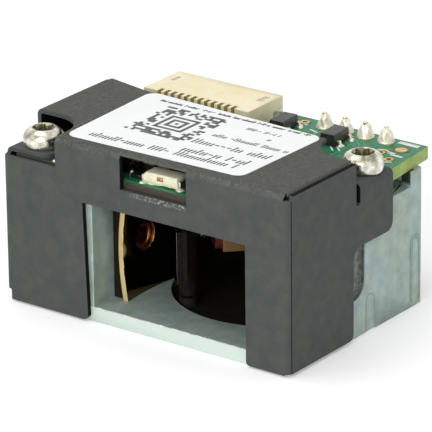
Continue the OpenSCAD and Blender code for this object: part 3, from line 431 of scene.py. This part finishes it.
# Coil: enamelled copper wire on a black bobbin, with amber tape over all but its first turns.
# The enamel is a clear red-brown. The wire is drawn 0.14 mm thick so that its turns show.
softened("coil_bobbin", 0.06, nylon)
pivot = np.array([-0.5, -6.4])
aside = np.array([1, 1]) / np.sqrt(2)
across = np.array([-1, 1]) / np.sqrt(2)
coil_axis_z = 11.1
coil_start, coil_end, wound, core, wire = 3.0, 6.5, 4.64, 2.2, 0.14


def rounded_square(sides, power):
    """Both coordinates of a square with round corners and a half width of one: a superellipse.

    They are the cosine and the sine of an angle, each with its size raised to two over the power."""
    angle = np.linspace(0, 2 * pi, sides, endpoint=False) + 0.01
    return [np.sign(wave) * np.abs(wave) ** (2 / power) for wave in (np.cos(angle), np.sin(angle))]


# One row of round wires side by side gives the outside its ridges, and the core is the hole. The
# profile runs along the ridges and back through the hole, and is carried round the square.
turns = int((coil_end - coil_start) / wire)
forward = np.linspace(0, turns, turns * 8 + 1)
ridge = np.abs(np.sin(pi * forward)) * wire / 2
x = np.concatenate([coil_start + forward * wire, [coil_end, coil_start]])[:, None]
half = np.concatenate([wound / 2 - wire / 2 + ridge, np.full(2, core / 2 + 0.02)])[:, None]
u, v = rounded_square(40, 7)
winding = np.stack([pivot[0] + x * aside[0] + half * u * across[0],
    pivot[1] + x * aside[1] + half * u * across[1], coil_axis_z + half * v], -1)
enamel, tree, shader = finish_of("red_enamelled_wire", "#5c2114", 0.4, 0.3)
clouded(tree, shader, "#4d1a0f", "#6f2b1b", 0.5)
seat(surface("coil_winding", [winding], enamel, loop=True), "drive_coil", "drive_coil")
softened("coil_leads", 0.02, enamel)

# Polyimide tape: amber film with gloss, darker where it overlaps.
tape, tree, shader = finish_of("amber_polyimide", "#74552c", 0.35, 0.0, Coat_Weight=0.2)
clouded(tree, shader, "#664a25", "#836136", 1.4, stretch=(1, 1, 0.4))
grained(tree, shader, 0.6, 0.02)
softened("coil_tape", 0.1, tape)


# Light detector: a diode behind a dark red filter, in a black frame that hangs from the board.
# The filter is glass dyed in the melt: almost black, with a deep red glow and a polished face.
softened("detector_holder", 0.08, nylon)
filter_glass, tree, shader = finish_of("deep_red_filter", "#4a0c10", 0.06, 0.0, Coat_Weight=0.6)
clouded(tree, shader, "#3c080b", "#5a1014", 1.5)
softened("optical_filter", 0.05, filter_glass)
# Silicon under clear epoxy: a smooth dark blue-grey.
silicon, tree, shader = finish_of("silicon_in_clear_epoxy", "#1c1d2b", 0.12)
clouded(tree, shader, "#171722", "#26283a", 1.0)
softened("photodiode", 0.05, silicon)


# Circuit board: glass cloth in epoxy with copper tracks, a green mask over them and white
# marks printed on the mask. Two screws hold it, with the cover, on the posts of the casting.
# The mask is smooth with a soft gloss, and lighter where it is thin.
mask, tree, shader = finish_of("green_solder_mask", "#22714c", 0.38, 0.0, Specular_IOR_Level=0.3)
mask_tone = clouded(tree, shader, "#1c6342", "#2f8a5e", 0.8)
grained(tree, shader, 0.45, 0.012)
# The mask is painted darker along the edge in front of the left screw, under the cover's ear: flux and dirt,
# and painted shade.
board_low, board_high = box_of("circuit_board")
darkened_deep, darkened_long = 0.75, 6.6
ear_shade_and_dirt = band(tree, "Y", board_low[1] - 1, board_low[1] + darkened_deep, 0.4,
    band(tree, "X", board_low[0], board_low[0] + darkened_long, 0.5))
ear_shaded_tone = add(tree, "MixRGB", [("Fac", ear_shade_and_dirt), ("Color1", mask_tone)], Color2=colour("#45403b"))
# Painted shade: behind the indicator lamp, under the cover, the mask is painted near black.
shade_left, shade_right, shade_front, shade_back = -12.0, 8.0, -11.9, -6.0
shade_behind_lamp = band(tree, "Z", board_high[2] - 0.05, board_high[2] + 1, 0.05,
    band(tree, "Y", shade_front, shade_back, 0.3, band(tree, "X", shade_left, shade_right)))
shaded_behind_lamp = add(tree, "MixRGB", [("Fac", shade_behind_lamp), ("Color1", ear_shaded_tone.outputs["Color"])],
    Color2=colour("#0d110f"))
tree.links.new(shaded_behind_lamp.outputs["Color"], shader.inputs["Base Color"])
# Sawn laminate: glass threads in yellow-green epoxy, dull and a little see-through.
laminate, tree, shader = finish_of("glass_epoxy_laminate", "#97ad57", 0.5, 0.0, Subsurface_Weight=0.15,
    Subsurface_Scale=0.3 * mm)
clouded(tree, shader, "#879f4b", "#a6bb66", 0.5, stretch=(0.4, 0.4, 2))
grained(tree, shader, 0.12, 0.02)
# Along its front and left side the board was routed. Its cut edge there is painted dark brown:
# painted shade under the cover. Under the left screw it is painted darker still.
shaded_board_edge, tree, shader = finish_of("laminate_edge_painted_shade", "#3a302a", 0.6)
shaded_cut_tone = clouded(tree, shader, "#2c2622", "#4a3f34", 0.5, stretch=(0.4, 0.4, 2))
grained(tree, shader, 0.12, 0.02)
deeper_shade_long = 5.5
deeper_shade = band(tree, "X", board_low[0] - 1, board_low[0] + deeper_shade_long, 0.8)
deeper_shaded_edge = add(tree, "MixRGB", [("Fac", deeper_shade), ("Color1", shaded_cut_tone)], Color2=colour("#262725"))
tree.links.new(deeper_shaded_edge.outputs["Color"], shader.inputs["Base Color"])
board = softened("circuit_board", 0.05, mask, laminate, shaded_board_edge)
for face in board.data.polygons:
    if abs(face.normal.z) < 0.7:
        face.material_index = 2 if face.normal.y < -0.5 or face.normal.x < -0.5 else 1

board_top = board_high[2]


def strip(points, width, height, base=board_top):
    """Flat strip along a line of points: (points, 4) rings of a box of that width and height.

    At each point the strip is cut along the line that halves the angle between its two runs."""
    line = np.array(points, float)
    runs = np.diff(line, axis=0)
    runs /= np.linalg.norm(runs, axis=1, keepdims=True)
    before = np.concatenate([runs[:1], runs])
    after = np.concatenate([runs, runs[-1:]])
    middle = before + after
    middle /= np.linalg.norm(middle, axis=1, keepdims=True)
    side = np.stack([-middle[:, 1], middle[:, 0]], -1)
    side *= (width / 2 / np.abs((side * np.stack([-before[:, 1], before[:, 0]], -1)).sum(1)))[:, None]
    left, right = line + side, line - side
    low, high = np.full((len(line), 1), base - 0.01), np.full((len(line), 1), base + height)
    return np.stack([np.hstack([left, low]), np.hstack([left, high]), np.hstack([right, high]),
        np.hstack([right, low])], 1)


def arc(centre, radius, start, end, steps=14):
    """Points of an arc, its angles in degrees."""
    angle = np.radians(np.linspace(start, end, steps))
    return np.stack([centre[0] + radius * np.cos(angle), centre[1] + radius * np.sin(angle)], -1)


# Copper tracks under the mask: they stand a little proud and show as lighter green.
masked_copper, tree, shader = finish_of("mask_over_copper", "#3b8f64", 0.35, 0.1, Specular_IOR_Level=0.3)
clouded(tree, shader, "#338459", "#4da277", 1.0)
ring_pads, test_pad = ((17.6, 8.9), (15.5, 10.3), (2.2, 13.7)), (17.1, 12.3)
first_joint, joint_pitch, joint_inset = 5.15, 2.95, 1.55
joints_y = board_high[1] - joint_inset
joint_xs = [first_joint + joint_pitch * i for i in range(4)]
tracks = [strip(route, 0.28, 0.03) for route in (
    [(joint_xs[0], joints_y - 1.2), (joint_xs[0], 11.4), (6.3, 10.2), (6.3, 6.0)],
    [(joint_xs[1], joints_y - 1.2), (joint_xs[1], 12.9), (11.3, 9.7), (11.3, 5.2)],
    [(joint_xs[2], joints_y - 1.2), (joint_xs[2], 11.8), (12.2, 10.7), (12.2, 5.4)],
    [(joint_xs[3], joints_y - 1.2), (joint_xs[3], 11.6), (13.1, 10.7), (13.1, 5.6)],
    [ring_pads[1], (14.4, 9.2), (14.4, 5.0)],
    [ring_pads[2], (3.2, 12.7), (3.2, 9.8), (4.2, 8.8), (4.2, 4.5)],
    [(1.9, 10.7), (2.4, 10.2), (2.4, 5.0)],
    [(-0.9, 11.6), (-1.2, 11.3), (-1.2, 5.0)],
    [(-17.5, 5.6), (-17.5, 7.0), (-18.6, 8.1), (-18.6, 13.5)],
    [(-17.6, -12.6), (-16.4, -12.6), (-15.2, -11.4), (-13.5, -11.4)],
    [(-6.2, -12.9), (-4.6, -12.9), (-3.4, -14.0), (5.4, -14.0)],
)]
seat(surface("copper_tracks", tracks, masked_copper), "circuit_board")

# White marks: screen-printed epoxy ink, thin and matt, with soft edges.
ink, tree, shader = finish_of("white_epoxy_ink", "#e9efe6", 0.6)
clouded(tree, shader, "#dbe5dc", "#f3f6ee", 0.5)
marks = [strip(route, width, 0.035) for route, width in (
    ([(15.4, 14.35), (18.3, 14.3)], 0.75),
    ([(16.3, 10.75), (17.2, 10.75)], 0.5),
    ([(16.9, 10.35), (18.6, 10.3)], 0.45),
    (arc(ring_pads[0], 1.0, 200, 325), 0.3),
    (arc(ring_pads[1], 0.95, 20, 150), 0.2),
    (arc(ring_pads[2], 0.95, 180, 330), 0.2),
    ([(9.5, 8.6), (10.6, 7.5)], 0.22),
    ([(10.2, 8.9), (11.3, 7.9)], 0.22),
    ([(4.2, 11.9), (5.6, 11.5)], 0.3),
    ([(-1.6, 13.6), (-1.6, 9.6)], 0.2),
    ([(2.6, 13.2), (2.6, 12.5)], 0.2),
    ([(6.9, 12.8), (9.9, 12.8)], 0.2),
)]
seat(surface("board_marks", marks, ink), "circuit_board")

# Gold pads: copper plated with soft gold, each in a ring of bare laminate.
pad_gold, tree, shader = finish_of("plated_gold", "#d3b766", 0.3, 1.0)
clouded(tree, shader, "#c2a352", "#e2c987", 0.5)
grained(tree, shader, 0.15, 0.008)
softened("board_pads", 0.02, pad_gold)
bare_ring, tree, shader = finish_of("bare_laminate", "#4b5a3c", 0.45)
clouded(tree, shader, "#3f4d32", "#5f6d4a", 0.4)
gaps = [strip(arc(test_pad, 0.97, 0, 360, 40), 0.4, 0.012)]
gaps += [strip(arc(pad, 0.72, 0, 360, 30), 0.2, 0.012) for pad in ring_pads]
seat(surface("pad_surrounds", gaps, bare_ring), "circuit_board")


# Pin row: gold-plated pins, soldered by hand. Each joint is a cone of solder, lumpy where the
# iron left it, with flux that has yellowed at its foot.
pins_low, pins_high = box_of("solder_joints")
joint_foot, joint_tall = (pins_high[1] - pins_low[1]) / 2, pins_high[2] - pins_low[2]


def solder_cone(centre, seed):
    """Round rings whose radius falls from the foot to a blunt tip that leans a little.

    Three waves, each a sine of the angle that turns with the height, make it lumpy."""
    rise = np.linspace(0, 1, 22)[:, None]
    angle = np.linspace(0, 2 * pi, 37)[None, :-1]
    chance = np.random.default_rng(seed)
    phase = chance.uniform(0, 2 * pi, 4)
    flank = 0.36 + (joint_foot - 0.4) * (1 - rise) ** 0.95
    lumps = 0.1 * np.sin(2 * angle + phase[0] + 3 * rise) + 0.07 * np.sin(3 * angle + phase[1] - 5 * rise)
    lumps = lumps + 0.05 * np.sin(5 * angle + phase[2] + 9 * rise)
    radius = np.minimum(flank * (1 + lumps * np.sqrt(rise + 0.05)), joint_foot)
    radius = radius * np.sqrt(np.clip(1.03 - rise ** 14, 0.02, 1))
    lean = 0.12 * rise * np.array([cos(phase[3]), sin(phase[3])])[:, None, None]
    return np.stack([centre[0] + lean[0] + radius * np.cos(angle),
        centre[1] + lean[1] + radius * np.sin(angle),
        board_top - 0.01 + joint_tall * (rise + 0 * angle) + 0.06 * lumps * rise], -1)


# Solder laid by hand: tin and lead set in a dull silvery cream, wrinkled where it cooled.
solder, tree, shader = finish_of("hand_laid_solder", "#e9e5d2", 0.36, 0.45)
clouded(tree, shader, "#d3cdb0", "#fbf9ec", 0.55)
grained(tree, shader, 0.3, 0.03)
pins = softened("header_pins", 0.06, pad_gold, solder)
for face in pins.data.polygons:
    face.material_index = 1 if face.center.z > board_top * mm else 0
cones = [solder_cone((x, joints_y), 11 + i) for i, x in enumerate(joint_xs)]
seat(surface("solder_joints_finished", cones, solder), "solder_joints", "solder_joints")
# Rosin flux: a clear amber varnish.
flux, tree, shader = finish_of("yellowed_flux", "#b98d35", 0.15, 0.0, Coat_Weight=0.5)
clouded(tree, shader, "#a57622", "#d2ab58", 0.4)


def lump(centre, size, seed, rings=9, sides=20):
    """Half an egg that lies on the board: its outline swells and shrinks with two sines of the
    angle, which the seed shifts."""
    rise = np.linspace(0, pi / 2, rings)[:, None]
    angle = np.linspace(0, 2 * pi, sides + 1)[None, :-1]
    wave = 1 + 0.16 * np.sin(2 * angle + seed) + 0.1 * np.sin(3 * angle + 2.3 * seed)
    flat = np.cos(rise) * wave + 0.02
    return np.stack([centre[0] + size[0] * flat * np.cos(angle), centre[1] + size[1] * flat * np.sin(angle),
        centre[2] + size[2] * np.sin(rise) + 0 * angle], -1)


spots = [lump((x + 0.75, joints_y - 0.75, board_top), (0.3, 0.24, 0.12), 5 * i + 1)
    for i, x in enumerate(joint_xs)]
seat(surface("flux_spots", spots, flux), "solder_joints")


# Host connector: a row of tinned contacts in a housing of cream liquid-crystal polymer, moulded
# hard-edged and held by a solder nail at each end. The polymer is dull, with faint flow marks.
cream, tree, shader = finish_of("cream_polymer", "#f3e6bd", 0.42, 0.0, Subsurface_Weight=0.1,
    Subsurface_Scale=0.4 * mm)
clouded(tree, shader, "#eedfb2", "#f6eccb", 2.5)
grained(tree, shader, 0.2, 0.006)
# Painted shade: the walls of the slots round the contacts are painted a darker brownish cream.
slot_shade, tree, shader = finish_of("cream_polymer_painted_shade", "#b3a36c", 0.6)
clouded(tree, shader, "#9c8c55", "#c8ba85", 0.4)
housing_low, housing_high = box_of("connector_housing")
housing = softened("connector_housing", 0.06, cream, slot_shade)
slot_deep = 0.9
for face in housing.data.polygons:
    place = np.array(face.center) / mm
    beside = abs(face.normal.x) > 0.9 and housing_low[0] + 1 < place[0] < housing_high[0] - 1
    behind = face.normal.y < -0.9 and place[1] > housing_low[1] + 0.1
    if place[1] < housing_low[1] + slot_deep + 0.05 and (beside or behind):
        face.material_index = 1
# Tinned copper: a soft bright grey.
tin, tree, shader = finish_of("tinned_contact", "#c9c5b4", 0.28, 1.0)
clouded(tree, shader, "#b5b09c", "#dbd8ca", 0.5)
grained(tree, shader, 0.12, 0.006)
softened("connector_contacts", 0.03, tin)
softened("detector_leads", 0.03, tin)
softened("connector_tabs", 0.03, tin)
contacts, contact_pitch, first_contact = 12, 1.0, 2.35
contact_xs = housing_low[0] + first_contact + contact_pitch * np.arange(contacts)
feet = [lump((x, housing_low[1] - 0.55, board_top), (0.22, 0.36, 0.14), i)
    for i, x in enumerate(contact_xs)]
tab_xs = (housing_low[0] - 0.4, housing_high[0] + 0.4)
feet += [lump((x, housing_high[1] - 1.6, board_top), (0.35, 0.8, 0.22), 7) for x in tab_xs]
seat(surface("connector_solder", feet, solder), "connector_contacts")


# Indicator lamp: a side-looking diode in a cream body, its die behind a small clear window. The
# body is a filled polymer moulded smooth, so that light sinks a little way into it.
lamp_body, tree, shader = finish_of("lamp_moulding", "#efecd0", 0.35, 0.0, Subsurface_Weight=0.2,
    Subsurface_Scale=0.4 * mm)
clouded(tree, shader, "#e9e4bf", "#f6f5df", 0.9)
grained(tree, shader, 0.15, 0.005)
lamp_low, lamp_high = box_of("indicator_led")
lamp_centre = (lamp_low + lamp_high) / 2
lamp_long, lamp_deep, lamp_tall = 4.75, 2.1, 1.5
lamp_turn = radians(3)


def on_lamp(u, v, w):
    """Points from places along, across and above the lamp's foot, turned with the lamp."""
    return np.stack([lamp_centre[0] + u * cos(lamp_turn) - v * sin(lamp_turn),
        lamp_centre[1] + u * sin(lamp_turn) + v * cos(lamp_turn), board_top + w], -1)


# The body is a ring of eight corners carried along its length. Its front hangs lower or
# higher over the board as a random wave goes, and its left end slopes down.
u = np.linspace(-lamp_long / 2, lamp_long / 2, 48)[:, None]
hem = 0.16 + 0.06 * wander(9, u, 5, 2.0) + 0.3 * np.clip(1 - (u + lamp_long / 2) / 1.5, 0, 1)
hem -= 0.12 * np.exp(-((u + 0.6) / 0.5) ** 2)
from_left = np.clip((u + lamp_long / 2) / 0.35, 0, 1)
tall = lamp_tall - 0.35 * (1 - from_left)
half = lamp_deep / 2
corners_v = np.array([-half + 0.35, -half + 0.04, -half, -half + 0.1, half - 0.15, half - 0.02, half,
    half])[None]
corners_w = np.hstack([0 * u + 0.02, hem, tall - 0.32, tall - 0.04, tall, tall - 0.1, 0.4 * tall, 0 * u])
body = on_lamp(u + 0 * corners_v, corners_v + 0 * u, corners_w)
lamp_piece = surface("indicator_led_finished", [body], lamp_body)
rounding = lamp_piece.modifiers.new("rounding", "BEVEL")
rounding.width = 0.05 * mm
rounding.segments = 2
rounding.limit_method = "ANGLE"
rounding.angle_limit = radians(25)
seat(lamp_piece, "indicator_led", "indicator_led")
softened("indicator_terminals", 0.06, tin)
# The die: a crystal with its gold wire under clear resin, in flecks of amber.
die, tree, shader = finish_of("amber_die", "#c08a48", 0.2, 0.0, Coat_Weight=0.8)
clouded(tree, shader, "#a5521f", "#d8b27c", 0.22)
die_long, die_deep, die_tall, die_foot = 0.84, 0.2, 0.5, 0.68
die_ends = np.array([-die_long / 2, die_long / 2])
die_line = on_lamp(die_ends, np.full(2, -half + 0.07), np.zeros(2))[:, :2]
die_box = strip(die_line, die_deep, die_tall, base=board_top + die_foot)
seat(surface("lamp_die", [die_box], die), "indicator_led")
lamp_feet = [lump(on_lamp(along, -half + 0.25, 0.0), size, 3 * along) for along, size in (
    (-2.45, (0.5, 0.5, 0.3)), (-1.5, (0.5, 0.3, 0.16)), (2.6, (0.5, 0.55, 0.25)))]
# Two joints of the small parts beside it.
lamp_feet.append(lump((-3.75, -12.6, board_top), (0.24, 0.32, 0.75), 2))
lamp_feet.append(lump((-13.95, -14.1, board_top), (0.42, 0.22, 0.24), 4))
seat(surface("lamp_solder", lamp_feet, solder), "indicator_terminals")


# Transistors and chips: silicon moulded in black epoxy, matt with a silvery bloom on top,
# on tinned legs that are soldered to the board.
epoxy, tree, shader = finish_of("moulded_black_epoxy", "#2e2e2d", 0.4)
clouded(tree, shader, "#232424", "#3b3b39", 0.7)
grained(tree, shader, 0.12, 0.01)
for node in ("rear_transistor", "side_transistor", "decoder_chip", "amplifier_chip"):
    softened(node, 0.07, epoxy)
for node in ("rear_transistor_leads", "side_transistor_leads", "decoder_chip_leads", "amplifier_leads"):
    softened(node, 0.03, tin)
legs, leg_feet = ((1.68, -1.1), (1.55, 1.3), (-1.62, -0.1)), []
for node in ("rear_transistor", "side_transistor"):
    low, high = box_of(node)
    centre = (low + high) / 2
    for x, y in legs:
        leg_feet.append(lump((centre[0] + x, centre[1] + y, board_top), (0.4, 0.38, 0.34), x + 2 * y))
seat(surface("transistor_solder", leg_feet, solder), "rear_transistor_leads")

# Crystal: a drawn steel can. The small parts beside it are fired ceramic, a dull tan, and
# resistor film under a black glaze, both with tinned ends.
softened("crystal", 0.12, nickel, steps=3)
ceramic, tree, shader = finish_of("fired_ceramic", "#b49c74", 0.4)
clouded(tree, shader, "#a58c65", "#c4ad88", 0.5)
grained(tree, shader, 0.1, 0.006)
glaze, tree, shader = finish_of("black_glaze", "#1d1d1f", 0.2)
clouded(tree, shader, "#161618", "#27272a", 0.5)
for node, body in (("ceramic_capacitors", ceramic), ("resistors", glaze)):
    parts = softened(node, 0.06, body, tin)
    for face in parts.data.polygons:
        face.material_index = 1 if abs(face.normal.x) > 0.7 else 0


# Cover: bent from 0.6 mm steel sheet and powder coated. It hangs on two ears under the
# screws and carries the label; bends and cut edges are rounded by the coat. The coat is a matt
# charcoal with a fine orange-peel grain, drawn 0.3 mm coarse so that it shows.
sheet = 0.6
coat, tree, shader = finish_of("black_powder_coat", "#454846", 0.62, 0.0, Specular_IOR_Level=0.25)
base_tone = clouded(tree, shader, "#404543", "#4e504d", 1.6, detail=6)
grained(tree, shader, 0.3, 0.045)
cover_low, cover_high = box_of("cover")
# Dust lies in the coat of the top plate: it warms its tone and leaves pale flecks.
dust_tone = clouded(tree, shader, "#3e3f3a", "#4f504a", 0.7, detail=6)
top_side = band(tree, "Z", cover_high[2] - 0.05, cover_high[2] + 1, 0.25)
dusty = add(tree, "MixRGB", [("Fac", top_side), ("Color1", base_tone), ("Color2", dust_tone)])
speck = 0.3
place = add(tree, "TexCoord").outputs["Object"]
specks = add(tree, "TexNoise", [("Vector", place)], Scale=1 / (speck * mm), Detail=3, Roughness=0.6)
specks = specks.outputs["Fac"]
pale = add(tree, "MapRange", [("Value", specks), ("To Max", top_side)], From_Min=0.6, From_Max=0.78)
flecked = add(tree, "MixRGB", [("Fac", pale.outputs["Result"]), ("Color1", dusty.outputs["Color"])],
    Color2=colour("#7c7e79"))
# Rubbed places: the coat is thin on the bend over the front, and torn to the bare steel where the
# punch left a burr under the indicator slot. The lighter flecks on the bend are partly a painted highlight.
bend = band(tree, "Z", cover_high[2] - 0.6, cover_high[2] - 0.2, 0.25,
    band(tree, "Y", cover_low[1], cover_low[1] + 0.5, 0.25))
bend_wear_and_highlight = add(tree, "MapRange", [("Value", specks), ("To Max", bend)], From_Min=0.42, From_Max=0.9)
worn_and_lit_tone = add(tree, "MixRGB", [("Fac", bend_wear_and_highlight.outputs["Result"]), ("Color1", flecked.outputs["Color"])],
    Color2=colour("#6e716c"))
# Painted light: the rounded cut edge along the plate's right side is painted lighter, to lift the shade on
# it.
plate_end = cover_high[0] - 0.75
plate_edge_painted_light = band(tree, "X", plate_end - 0.05, plate_end + 0.05, 0.04,
    band(tree, "Z", cover_high[2] - 0.4, cover_high[2] - 0.1, 0.05))
worn_and_lit_tone = add(tree, "MixRGB", [("Fac", plate_edge_painted_light), ("Color1", worn_and_lit_tone.outputs["Color"])],
    Color2=colour("#747671"))
# The burr grows from the slot's left end until it is full, and stops with the slot.
burr_left, burr_right, burr_top, burr_tall = -3.4, 5.6, 17.8, 0.45
burr_full, burr_fade = 2.0, 5.5
burr_place = band(tree, "Z", burr_top - burr_tall, burr_top, 0.15,
    band(tree, "Y", cover_low[1] - 1, cover_low[1] + 0.1))
burr_place = band(tree, "X", burr_left, burr_right, 0.4, burr_place)
burr_place = band(tree, "X", burr_full, burr_right + burr_fade, burr_fade, burr_place)
torn = add(tree, "MapRange", [("Value", specks), ("To Max", burr_place)], From_Min=0.44, From_Max=0.72)
burrs = add(tree, "MixRGB", [("Fac", torn.outputs["Result"]), ("Color1", worn_and_lit_tone.outputs["Color"])],
    Color2=colour("#9fa29c"))
tree.links.new(burrs.outputs["Color"], shader.inputs["Base Color"])
# Painted shade: the cut edges that face right, the inner face of the left side, the slit and the seam under
# the top plate are painted near black.
shade_coat, tree, shader = finish_of("powder_coat_painted_shade", "#141516", 0.7, 0.0, Specular_IOR_Level=0.05)
clouded(tree, shader, "#0f1011", "#1c1d1e", 0.5)
grained(tree, shader, 0.3, 0.025)
cover = softened("cover", 0.08, coat, shade_coat, steps=3)
slit_end = -1.05
for face in cover.data.polygons:
    place = np.array(face.center) / mm
    edge = face.normal.x > 0.9 and place[1] < cover_low[1] + sheet
    inner_side = face.normal.x > 0.9 and place[0] < cover_low[0] + sheet + 0.1
    in_slit = face.normal.y < -0.9 and abs(place[1] - slit_end) < 0.1
    in_seam = face.normal.z > 0.9 and 0.1 < cover_high[2] - place[2] < 0.4
    if edge or inner_side or in_slit or in_seam:
        face.material_index = 1


# Cover screws: pan heads with a six-lobe recess, cold-headed steel plated with nickel. The
# plating is bright and yellowish, scuffed by the bit. The recess is painted darker: oil, and
# painted shade in its depth.
plated, tree, shader = finish_of("nickel_plated_steel", "#dad8cb", 0.26, 1.0)
clouded(tree, shader, "#8f8c74", "#fbfaee", 1.0, detail=4)
grained(tree, shader, 0.16, 0.014, detail=4)
recess_oil_and_shade, tree, shader = finish_of("recess_oiled_and_painted_shade", "#8a8669", 0.35, 0.9)
clouded(tree, shader, "#656148", "#b3ae8f", 0.4)
grained(tree, shader, 0.2, 0.01)
recess_reach, recess_depth = 1.37, 1.4
for node in ("left_screw", "right_screw"):
    low, high = box_of(node)
    axis = (low + high)[:2] / 2
    head = softened(node, 0.06, plated, recess_oil_and_shade, steps=3)
    for face in head.data.polygons:
        place = np.array(face.center) / mm
        inside = np.hypot(*(place[:2] - axis)) < recess_reach and place[2] < high[2] - 0.05
        face.material_index = 1 if inside and place[2] > high[2] - recess_depth - 0.05 else 0


# Label: white polyester film with rounded corners, stuck on the cover, with a dull satin face.
# Its print is plain: rows of small marks and a square pattern, in matt grey thermal ink.
film, tree, shader = finish_of("white_polyester_film", "#f3f5f4", 0.35)
clouded(tree, shader, "#f0f3f2", "#f6f7f7", 4.0)
grained(tree, shader, 0.8, 0.004)
softened("label", 0.03, film)
label_top = box_of("label")[1][2]
ink_low, ink_high = label_top - 0.002, label_top + 0.01


def ink_box(corner, along, up):
    """Flat box on the label: a corner and its two edges give its outline."""
    corner, along, up = (np.array(v, float) for v in (corner, along, up))
    outline = np.array([corner, corner + along, corner + along + up, corner + up])
    return np.stack([np.hstack([outline, np.full((4, 1), z)]) for z in (ink_low, ink_high)])


def row_of_marks(start, end, tall, bold, seed):
    """Upright bars, short bars and dashes from start to end, in groups with gaps between."""
    chance = np.random.default_rng(seed)
    start, end = np.array(start, float), np.array(end, float)
    length = np.linalg.norm(end - start)
    run = (end - start) / length
    rise = np.array([-run[1], run[0]]) + 0.12 * run
    marks, at, left_in_group = [], 0.0, int(chance.integers(4, 11))
    while at < length - 0.5 * tall:
        kind = chance.random()
        here = start + at * run
        if kind < 0.4:
            marks.append(ink_box(here, bold * tall * run, tall * rise))
        elif kind < 0.75:
            marks.append(ink_box(here, bold * tall * run, 0.66 * tall * rise))
            marks.append(ink_box(here + 0.34 * tall * run, bold * tall * run, 0.66 * tall * rise))
            at += 0.28 * tall
        else:
            marks.append(ink_box(here + 0.36 * tall * rise, 0.4 * tall * run, bold * tall * rise))
            at += 0.2 * tall
        at += 0.38 * tall
        left_in_group -= 1
        if left_in_group == 0:
            at += 0.55 * tall
            left_in_group = int(chance.integers(4, 11))
    return marks


print_ink, tree, shader = finish_of("grey_thermal_ink", "#4d5150", 0.5)
clouded(tree, shader, "#404443", "#5f6362", 0.6)
label_print = []
for seed, (start, end, tall, bold) in enumerate((
        ((-10.2, -12.6), (11.0, -11.8), 1.35, 0.19),
        ((1.7, -10.6), (11.4, -10.2), 1.5, 0.18),
        ((1.0, -7.6), (12.2, -7.3), 1.45, 0.18),
        ((1.8, -4.6), (12.3, -4.4), 0.95, 0.2),
        ((8.0, -2.3), (8.8, -2.3), 0.8, 0.2),
        ((3.8, -0.6), (8.9, -0.5), 0.7, 0.22),
        ((-10.4, 1.55), (11.4, 1.75), 0.6, 0.3))):
    label_print += row_of_marks(start, end, tall, bold, 20 + seed)
# Square pattern: random cells round three nested squares, 19 cells to a side.
cells, cell, corner, clear_ring = 19, 0.47, np.array([-8.35, -8.2]), 6
pattern = np.random.default_rng(8).random((cells, cells)) < 0.5
spread_out = np.maximum(*np.abs(np.mgrid[:cells, :cells] - cells // 2))
pattern = np.where(spread_out < clear_ring, spread_out % 2 == 0, pattern)
for line in range(cells):
    edges = np.flatnonzero(np.diff(np.concatenate([[0], pattern[line].astype(int), [0]])))
    for first, last in edges.reshape(-1, 2):
        label_print.append(ink_box(corner + cell * np.array([first, line]), (cell * (last - first), 0),
            (0, 0.99 * cell)))
seat(surface("label_print", label_print, print_ink), "label")
